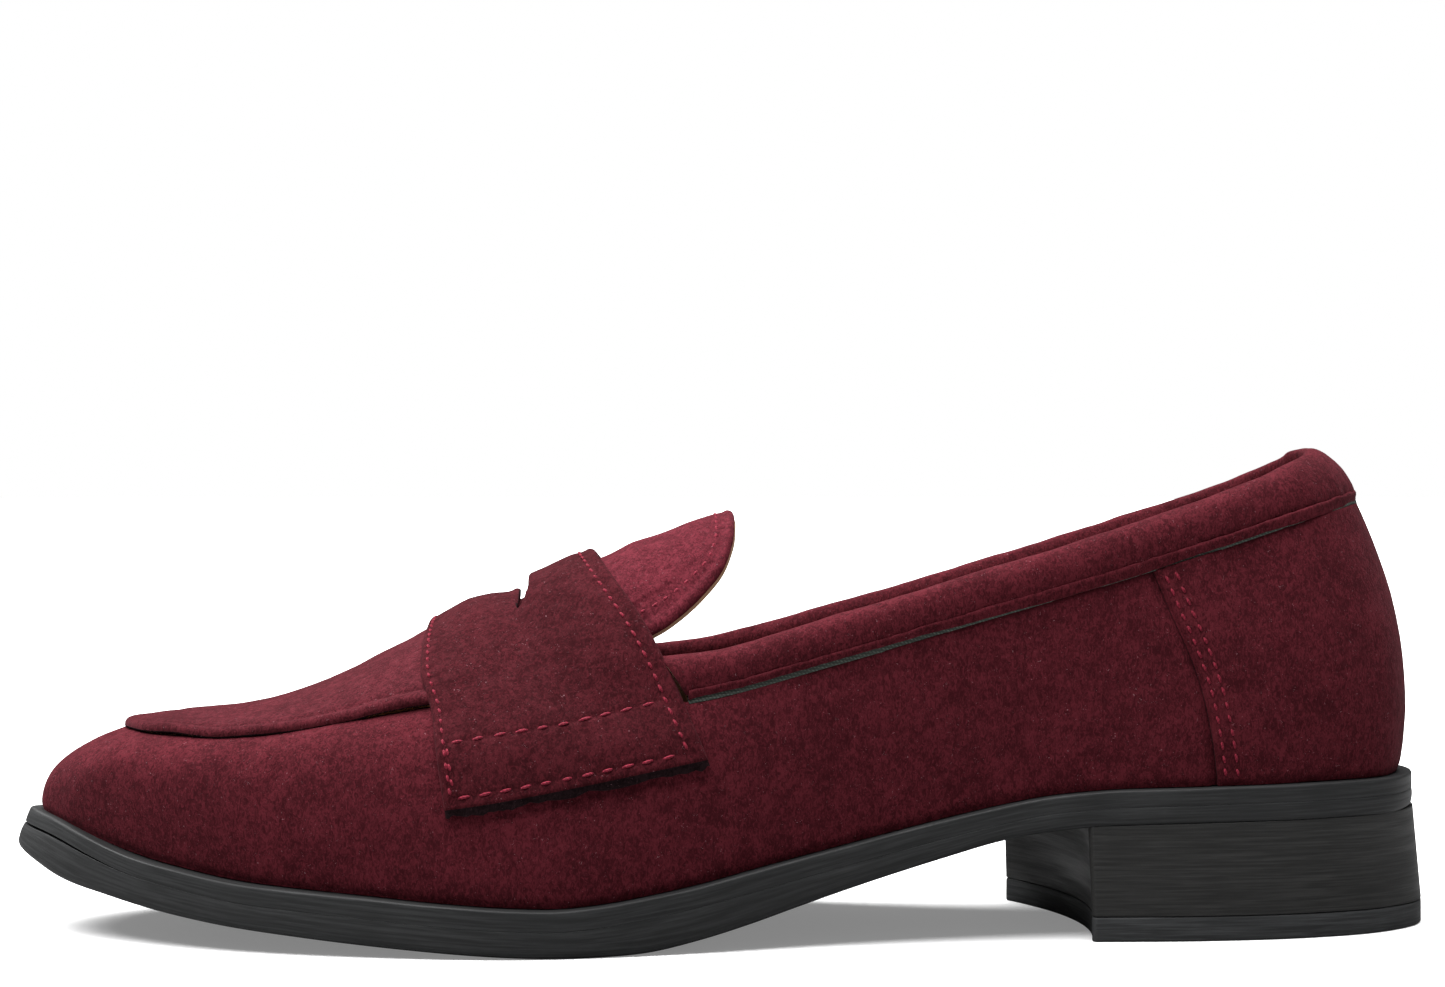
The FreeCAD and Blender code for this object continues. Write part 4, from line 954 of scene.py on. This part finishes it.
lining("vamp_lining", level(-10, True), level(-10, False, 1), 0.90,
       lambda u, v: -1.22 - 0.9 * (1 - ramp(np.minimum(u % LOOP, LOOP - u % LOOP), 56, 70)), step=1.0)
lining("quarter_lining_outer", level(-9.7, False), lambda t: OUTER_SEAM(t) + LAP, 0.93, quarter_depth)
lining("quarter_lining_inner", lambda t: INNER_SEAM(t) - LAP, level(-9.7, True), 0.93, quarter_depth)
lining("heel_grip", lambda t: OUTER_SEAM(t) - 2, lambda t: INNER_SEAM(t) + 2, 0.93, lambda u, v: -3.1 + 0 * u,
       TAN_SOCK)


def sock_loop(distance):
    r = RING(LOOP_U)
    return outline(LOOP_U, r[:, 2] + 4.4 + 2.2 * ramp(-r[:, 0], 110, 128) + distance)


def sock_high(p):
    return sole_top(p[..., 0]) + 6.75 + 0.35 * relief(p, 34, 21)


SOCK_ROWS = [(7.0, 0.0, 0.0), (3.5, 0.0, 0.05), (1.6, 0.0, 0.22), (0.8, 0.0, 0.45), (0.25, 0.0, 0.8),
             (0.0, 0.0, 1.2), (0.0, 0.5, 0.6), (0.0, 1.0, 0.0), (3.0, 1.0, 0.0)]
sock = slab("sock_liner", sock_loop, SOCK_ROWS, sock_high, lambda p: sole_top(p[..., 0]) + 3.3, TAN_SOCK,
            40, hides=["footbed_foam"])

# apron
APRON_N = 300
f = np.linspace(0, 1, APRON_N + 1)
END_OUT, END_IN = float(at_x(-29.5, False)), float(at_x(-29.5, True))
APRON_D = np.array([0, 0.1, 0.25, 0.45, 0.7, 1.0, 1.3, 1.6, 1.9, 2.15, 2.4, 2.65, 2.95, 3.4, 4.0, 5.0])
APRON_OUT, APRON_THICK = 1.3, 1.25


def apron_line(distance):
    """The apron's rim moved in by distance, on the outer and inner sides, with the height it rests on."""
    sides = []
    for u in (f * END_OUT, LOOP - f * (LOOP - END_IN)):
        p = gather(u) + out_dir(u) * (APRON_OUT - distance)
        beyond = max(APRON_OUT - distance, 0.0)
        r = RING(u)
        sag = beyond * r[:, 8] / r[:, 9]
        rest = gather(u)[:, 2] - sag + 0.02 - 0.1 * (distance > 3)
        p[:, 2] = np.maximum(top(p[:, 0], p[:, 1])[:, 2] - APRON_THICK, rest)
        sides.append(p)
    return sides


lines = [apron_line(d) for d in APRON_D]
mix = np.linspace(0, 1, 52)[1:-1, None, None]
plan = [p[0] for p in lines] + list(lines[-1][0] * (1 - mix) + lines[-1][1] * mix) + [p[1] for p in lines[::-1]]
plan = np.stack(plan, 1)
from_edge = np.concatenate([APRON_D, np.full(50, 9.0), APRON_D[::-1]])[None, :] + 0 * plan[..., 0]
x, y = plan[..., 0], plan[..., 1]
n = top_normal(x, y)
lower = top(x, y)
lower[..., 2] -= APRON_THICK
lower[..., 2] = np.where(from_edge < 5.1, np.maximum(plan[..., 2], lower[..., 2]), lower[..., 2])
roll = -1.05 * rounding(from_edge, 1.0) + 0.22 * np.exp(-((from_edge - 1.15) / 0.75) ** 2)
roll -= 0.30 * np.exp(-((from_edge - 2.55) / 0.5) ** 2)
roll += 0.16 * relief(lower, 22, 41) * ramp(from_edge, 2.5, 7) + 0.05 * relief(lower, 7, 42)
# The apron's underside and rim take the near-black suede: painted shade for the dark line beneath its rolled edge.
sheet_piece("apron", lower + n * (APRON_THICK + roll)[..., None], lower, [SUEDE_APRON_PAINTED_SHADE, SUEDE_RAW_EDGE_AND_PAINTED_SHADE])

# strap, with its slot cut between x -40 and -38
FRONT_ROW, REAR_ROW = 1.5, 3.0
BOX_ROWS = (-0.968, -0.79, 0.79, 0.968)
b = np.unique(np.concatenate([np.linspace(-1, 1, 190), np.linspace(-0.30, -0.12, 34), np.linspace(0.12, 0.30, 34),
                              -0.79 + np.linspace(-0.02, 0.02, 7), 0.79 + np.linspace(-0.02, 0.02, 7),
                              np.linspace(-1, -0.94, 12), np.linspace(0.94, 1, 12),
                              np.linspace(-1.022, -1.001, 6), np.linspace(1.001, 1.022, 6)]))
FRONT_ROWS = np.array([0, 0.006, 0.016, 0.03, 0.05, 0.075, 0.1, 0.13, 0.16, 0.2, 0.25, 0.31, 0.38, 0.46, 0.54, 0.62,
                       0.70, 0.77, 0.83, 0.88, 0.92, 0.95, 0.972, 0.988, 1.0])
REAR_ROWS = 1 - FRONT_ROWS[::-1]


def slot_line(x_line, b):
    """Place a on the strap where it crosses x_line, at each b."""
    return solve(lambda a: strap(a, b)[..., 0], x_line + 0 * b, 0.0, 1.0)


y_of = strap(0.47 + 0 * b, b)[:, 1]
inside_end = np.where(y_of > -1, (y_of - 10) / 3, (-12 - y_of) / 3)
opening = np.sqrt(np.clip(1 - np.clip(inside_end, 0, None) ** 2, 0, 1))
a_front = slot_line(-39.5, b) - opening * (slot_line(-39.5, b) - slot_line(-40.0, b))
a_rear = slot_line(-39.5, b) + opening * (slot_line(-38.0, b) - slot_line(-39.5, b))
a = np.concatenate([a_front[None] * FRONT_ROWS[:, None],
                    a_rear[None] + (1 - a_rear[None]) * REAR_ROWS[:, None]])
bb = np.broadcast_to(b, a.shape)
fray = 1 + 0.6 * relief(np.stack([33 * a, 4 * bb, 0 * a], -1), 1.7, 57)
bb = np.clip(bb, -1, 1) + (bb - np.clip(bb, -1, 1)) * fray
face = strap(a, bb)
n = strap_normal(a, bb)
to_front = np.linalg.norm(face - strap(0 * bb, bb), axis=-1)
to_rear = np.linalg.norm(face - strap(0 * bb + 1, bb), axis=-1)
slot_row = np.where(np.arange(len(a)) < len(FRONT_ROWS), len(FRONT_ROWS) - 1, len(FRONT_ROWS))
near_slot = np.linalg.norm(face - face[slot_row], axis=-1) + 30 * (1 - opening)[None]
arc = along_line(strap(0.5 + 0 * b, b))
height = -0.95 * rounding(to_front, 0.95) - 0.95 * rounding(to_rear, 1.0) - 0.8 * rounding(near_slot, 0.9)
height += 0.18 * np.exp(-((to_front - 1.1) / 0.6) ** 2) + 0.15 * np.exp(-((to_rear - 1.1) / 0.6) ** 2)
height += dimples(to_front, arc[None] + 0 * a, FRONT_ROW, 0.22)
height += dimples(to_rear, arc[None] + 0 * a, REAR_ROW, 0.26)
for level_b in BOX_ROWS:
    away = np.abs(arc[None] - np.interp(level_b, b, arc)) + 0 * a
    height += dimples(away, to_front, 0.0, 0.22) * (to_front > 1.5) * (to_rear > 1.5)
height += 0.12 * relief(face, 18, 51) + 0.04 * relief(face, 6, 52)
height -= 0.55 * ramp(np.abs(bb), 0.997, 1.004) + 0.35 * ramp(np.abs(bb), 1.006, 1.022)
outer = face + n * height[..., None]
inner = face - n * (1.0 + 0.5 * ramp(np.abs(bb), 0.82, 0.96))[..., None]
keep = np.ones((a.shape[0] - 1, a.shape[1] - 1), bool)
keep[len(FRONT_ROWS) - 1] = (opening[1:] <= 0) & (opening[:-1] <= 0)
verts, faces, kinds = shell(outer, inner, keep)
# Faces past the strap's edge take the near-black suede: its frayed raw edge, darkened also as painted shade below
# the strap.
raw_edge_and_shade_faces = (np.abs(0.5 * (bb[1:, 1:] + bb[:-1, :-1])) > 1.0)[keep]
indices = np.minimum(kinds, 1)
indices[:len(raw_edge_and_shade_faces)] = np.maximum(indices[:len(raw_edge_and_shade_faces)], raw_edge_and_shade_faces)
build("saddle_strap", verts, faces, [SUEDE_STRAP_PAINTED_SHADE, SUEDE_RAW_EDGE_AND_PAINTED_SHADE], indices=indices)

# tongue: rows run in from the free edge, then back to the root under the strap
q = np.linspace(-1, 1, 170)
TONGUE_GROOVE, TONGUE_ROW = 2.0, 3.2
TONGUE_D = np.array([0, 0.08, 0.2, 0.4, 0.65, 0.95, 1.25, 1.5, 1.75, 2.0, 2.25, 2.5, 2.8, 3.2, 3.8, 4.6])


def tongue_grid(margin, root_rows=26):
    rows = [np.stack(tongue_plan(q, d), -1) for d in TONGUE_D + margin]
    x, y = rows[-1].T
    rows += [np.stack([x + k / root_rows * (TONGUE_ROOT - x), y], -1) for k in range(1, root_rows + 1)]
    plan = np.stack(rows)
    x, y = plan[..., 0], plan[..., 1] + middle(plan[..., 0])
    return top(x, y), top_normal(x, y)


base, n = tongue_grid(0.0)
rows = base.shape[0]
from_edge = np.concatenate([TONGUE_D, TONGUE_D[-1] + 0.9 * np.arange(1, rows - len(TONGUE_D) + 1)])[:, None]
from_edge = from_edge + 0 * base[..., 0]
along_q = along_line(base[9])[None] + 0 * from_edge
height = -0.95 * rounding(from_edge, 1.0) + 0.12 * np.exp(-((from_edge - 1.0) / 0.5) ** 2)
height += dimples(from_edge, along_q, TONGUE_GROOVE, 0.26)
height += 0.45 * ramp(from_edge, 2.4, 9) - 0.35 * ramp(-base[..., 0], 18, 24)
height += 0.14 * relief(base, 16, 61) * ramp(from_edge, 2.5, 6) + 0.04 * relief(base, 5, 62)
tongue = sheet_piece("tongue", base + n * height[..., None], base - n * SUEDE_THICK,
                     [SUEDE_TONGUE_PAINTED_LIGHT, TAN], body="tongue", hides=["tongue_padding"])
base, n = tongue_grid(0.05)
edge_lift = 0.45 * rounding(from_edge, 0.9)
thick = 2.7 + 1.0 * ramp(-base[..., 0], 3, 13) * ramp(from_edge, 0, 1.5)
sheet_piece("tongue_lining", base + n * (-1.12 - 0.2 * edge_lift)[..., None],
            base - n * (thick - edge_lift)[..., None], [TAN], body="tongue")

# collar
s = spread(268, 0.95)
w = spread(26, 0.62)
ss, ww = np.meshgrid(s, w, indexing="ij")
start, end = band_start(w, False)[None], band_start(w, True)[None]
uu = start + ss * (end - start)
base, n = band(uu, ww), band_normal(uu, ww)
d0, d1, low_d, high_d = edge_distances(base)
along = np.cumsum(np.concatenate([np.zeros((1, len(w))), np.linalg.norm(np.diff(base, axis=0), axis=-1)]), 0)
height = -0.5 * (rounding(low_d, 0.9) + rounding(high_d, 0.9)) - 0.6 * (rounding(d0, 0.8) + rounding(d1, 0.8))
pucker = np.exp(-low_d / 2.6) * 0.16 * np.sin(along * 2 * math.pi / 3.7 + 2.4 * relief(base, 30, 71))
pucker += np.exp(-high_d / 3.0) * 0.14 * np.sin(along * 2 * math.pi / 4.6 + 2.0 * relief(base, 25, 72))
height += pucker + 0.22 * relief(base, 17, 73) + 0.06 * relief(base, 6, 74)
height += 0.25 * np.sin(np.clip(low_d / 9, 0, 1) * math.pi)
collar = sheet_piece("topline_collar", base + n * height[..., None], base - n * 0.8, [SUEDE, TAN],
                     hides=["collar_foam"])

# folded strip below the collar, and the tape that shows in the gap under it
s = np.linspace(0, 1, 620)
start, end = float(at_x(-9.0, False)), float(at_x(-9.0, True))
u = start + s * (end - start)
x = gather(u)[:, 0]
lean = RING(u)[:, 9] / RING(u)[:, 8]
outer_side = u < HEEL
gap = np.where(outer_side, ramp(x, -14, -6) * (1 - 0.75 * ramp(x, 26, 50) - 0.25 * ramp(x, 50, 56))
               + 0.45 * ramp(x, 74, 84) * (1 - ramp(x, 96, 104)), 0.0)
ragged = 0.16 * relief(gather(u), 4, 81) + 0.08 * relief(gather(u), 1.6, 82)
low_z = -0.25 - 0.80 * (1 - gap) + 0.5 * ragged
high_z = 1.35 + 0.7 * ragged
FOLD_PROFILE = [(0.0, 0.15), (0.03, 0.45), (0.10, 0.68), (0.25, 0.88), (0.45, 1.02), (0.68, 1.14), (0.86, 1.12),
                (0.96, 0.98), (1.0, 0.75), (0.8, 0.45), (0.5, 0.2), (0.2, 0.0)]
rows = []
for share, out in FOLD_PROFILE:
    z = low_z + share * (high_z - low_z)
    thick = out - 0.75 * ramp(x, 104, 117) + 0.06 * relief(gather(u), 5, 83)
    rows.append(gather(u) + out_dir(u) * (thick - lean * np.minimum(z, 0))[:, None] + UP * z[:, None])
rows = np.stack(rows, 1)
ends = [row * 0 + row.mean(1, keepdims=True) for row in (rows[:1], rows[-1:])]
rows = np.concatenate([ends[0], rows, ends[1]])
build("topline_piping", rows.reshape(-1, 3), grid_faces(*rows.shape[:2], closed_cols=True), [SUEDE])
TAPE_PROFILE = ((0.02, -1.15), (0.08, -0.75), (0.10, -0.35), (0.06, 0.05), (-0.4, 0.05), (-0.4, -1.15))
rows = [gather(u) + out_dir(u) * (out - lean * min(z, 0.0))[:, None] + UP * z for out, z in TAPE_PROFILE]
rows = np.stack(rows, 1)
build("topline_tape", rows.reshape(-1, 3), grid_faces(*rows.shape[:2], closed_cols=True), [TAPE])


# ---------------------------------------------------------------- stitches
def stitches(name, runs, body="shoe", pitches=None):
    """Separate stitches along runs of points and surface normals."""
    draw = np.random.default_rng(len(name) * 7 + 1)
    sides, rings = 8, 9
    verts, faces, run = [], [], []
    for place, (points, normals) in enumerate(runs):
        pitch = pitches[place] if pitches else STITCH
        marks = along_line(points)
        count = int(marks[-1] / pitch)
        for i in range(count):
            begin = (i + 0.15) * marks[-1] / count + draw.uniform(-0.06, 0.06)
            size = (0.28 + 0.5 * pitch) * draw.uniform(0.85, 1.12)
            t = np.linspace(0, 1, rings)
            at = np.clip(begin + t * size, 0, marks[-1])
            p = np.stack([np.interp(at, marks, points[:, k]) for k in range(3)], 1)
            n = unit(np.stack([np.interp(at, marks, normals[:, k]) for k in range(3)], 1))
            along = unit(p[-1:] - p[:1])
            side = unit(np.cross(n, along))
            arch = np.sin(math.pi * np.clip(t, 0.04, 0.96)) ** 0.5
            skew = draw.uniform(-0.10, 0.10) + 0.16
            p = p + n * (0.36 * arch - 0.22)[:, None] * THREAD_RADIUS / 0.36 + side * ((t - 0.5) * skew)[:, None]
            r = THREAD_RADIUS * np.sin(math.pi * np.clip(t, 0.06, 0.94)) ** 0.35
            angle = np.arange(sides) * 2 * math.pi / sides
            ring = p[:, None] + (n[:, None] * np.cos(angle)[None, :, None] * 0.85
                                 + side[:, None] * np.sin(angle)[None, :, None]) * r[:, None, None]
            base_index = sum(len(x) for x in verts)
            verts.append(ring.reshape(-1, 3))
            along_mm = np.repeat(at, sides)
            run.append(np.stack([along_mm, np.tile(angle * THREAD_RADIUS, rings), 0 * along_mm], 1))
            quads = grid_faces(rings, sides, closed_cols=True, start=base_index)
            faces += [list(x) for x in quads]
            faces.append([base_index + k for k in range(sides)][::-1])
            faces.append([base_index + (rings - 1) * sides + k for k in range(sides)])
    build(name, np.concatenate(verts), faces, [THREAD], body, run=np.concatenate(run))


def strap_row(a, b):
    n = strap_normal(a, b)
    return strap(a, b) - n * 0.12, n


front_a = np.array([np.interp(FRONT_ROW, to_front[:, j], a[:, j]) for j in range(len(b))])
rear_a = np.array([np.interp(REAR_ROW, to_rear[::-1, j], a[::-1, j]) for j in range(len(b))])
t = np.linspace(-0.965, 0.965, 500)
strap_runs = [strap_row(np.interp(t, b, front_a), t), strap_row(np.interp(t, b, rear_a), t)]
for flank in (-1, 1):
    t = np.linspace(0.80, 0.95, 60) * flank
    strap_runs.append(strap_row(np.interp(t, b, front_a) + 0.012, t))
t = np.linspace(0.05, 0.90, 160)
strap_runs += [strap_row(t, 0 * t + where) for where in BOX_ROWS]
stitches("strap_stitches", strap_runs, pitches=[2.3] * 4 + [3.5] * 4)

t = np.linspace(-0.97, 0.97, 400)
x, y = tongue_plan(t, TONGUE_ROW)
y = y + middle(x)
normals = top_normal(x, y)
stitches("tongue_stitches", [(top(x, y) - normals * 0.14, normals)], "tongue")

for name, seam, sign in (("seam_stitches_outer", OUTER_SEAM, 1), ("seam_stitches_inner", INNER_SEAM, -1)):
    runs = []
    for away in SEAM_ROWS:
        t = np.linspace(0.03, 0.95, 300)
        u = seam(t) + sign * away
        runs.append((wall_at(u, t, 0.3), wall_normal(u, t)))
    stitches(name, runs)

# ---------------------------------------------------------------- CAD nodes that stay, with their own finishes
for name, material in (("heel_nails", STEEL), ("lift_nails", STEEL), ("bottom_filler", FELT), ("shank", STEEL),
                       ("shank_rivets", STEEL), ("insole_board", BOARD), ("apron_lining", TAN),
                       ("apron_cord", THREAD), ("strap_backing", GREY_LINING), ("toe_puff", PLASTIC),
                       ("heel_counter", PLASTIC)):
    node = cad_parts[name]
    node.data.materials.clear()
    node.data.materials.append(material)

# ---------------------------------------------------------------- stage, light and camera
FLOOR_HALF_SIDE = 40.0
FLOOR_GLOW = 0.22
FILL_STRENGTH, BACKDROP_STRENGTH = 0.15, 1.0
SUN_STRENGTH, SUN_ANGLE, SUN_TILT = 10.6, 70, (-2, -15, 0)
CAMERA_PLACE, CAMERA_TURN, CAMERA_LENS = (-0.02907, -0.5333, 0.0809), (90, 0, -3), 70.25

floor_shade = Shade("pale_floor")
paper = floor_shade.noise(1.2, 4.0, 0.6)
tone = floor_shade.mix(floor_shade.step(paper, 0.3, 0.7, 0.0, 1.0), (0.80, 0.80, 0.805), (0.83, 0.83, 0.83))
direct = floor_shade.add("ShaderNodeLightPath").outputs["Is Camera Ray"]
floor_shade.put(floor_shade.shader.inputs["Emission Strength"], floor_shade.math("MULTIPLY", direct, FLOOR_GLOW))
floor_shade.shader.inputs["Emission Color"].default_value = (1, 1, 1, 1)
floor_shade.finish(floor_shade.mix(direct, (0.30, 0.30, 0.302), tone), [], [(paper, 0.02, 0.2)], 0.7,
                   Specular_IOR_Level=0.05)
side = FLOOR_HALF_SIDE
mesh = bpy.data.meshes.new("floor")
mesh.from_pydata([(-side, -side, 0), (side, -side, 0), (side, side, 0), (-side, side, 0)], [], [(0, 1, 2, 3)])
mesh.materials.append(floor_shade.mat)
floor = bpy.data.objects.new("floor", mesh)
bpy.context.scene.collection.objects.link(floor)

world = bpy.data.worlds.new("studio")
bpy.context.scene.world = world
world.use_nodes = True
tree = world.node_tree
tree.nodes.clear()
path = tree.nodes.new("ShaderNodeLightPath")
blend = tree.nodes.new("ShaderNodeMixShader")
tree.links.new(path.outputs["Is Camera Ray"], blend.inputs[0])
for socket, strength in ((1, FILL_STRENGTH), (2, BACKDROP_STRENGTH)):
    glow = tree.nodes.new("ShaderNodeBackground")
    glow.inputs["Color"].default_value = (1, 1, 1, 1)
    glow.inputs["Strength"].default_value = strength
    tree.links.new(glow.outputs[0], blend.inputs[socket])
tree.links.new(blend.outputs[0], tree.nodes.new("ShaderNodeOutputWorld").inputs["Surface"])

sun = bpy.data.lights.new("overhead", "SUN")
sun.energy = SUN_STRENGTH
sun.angle = math.radians(SUN_ANGLE)
lamp = bpy.data.objects.new("overhead", sun)
lamp.rotation_euler = [math.radians(angle) for angle in SUN_TILT]
bpy.context.scene.collection.objects.link(lamp)

camera_data = bpy.data.cameras.new("camera")
camera_data.sensor_width = 36.0
camera_data.lens = CAMERA_LENS
camera_data.clip_start, camera_data.clip_end = 0.01, 100.0
camera = bpy.data.objects.new("camera", camera_data)
camera.location = CAMERA_PLACE
camera.rotation_euler = [math.radians(angle) for angle in CAMERA_TURN]
bpy.context.scene.collection.objects.link(camera)
bpy.context.scene.camera = camera
bpy.context.scene.view_settings.view_transform = "Standard"
bpy.context.scene.view_settings.look = "None"
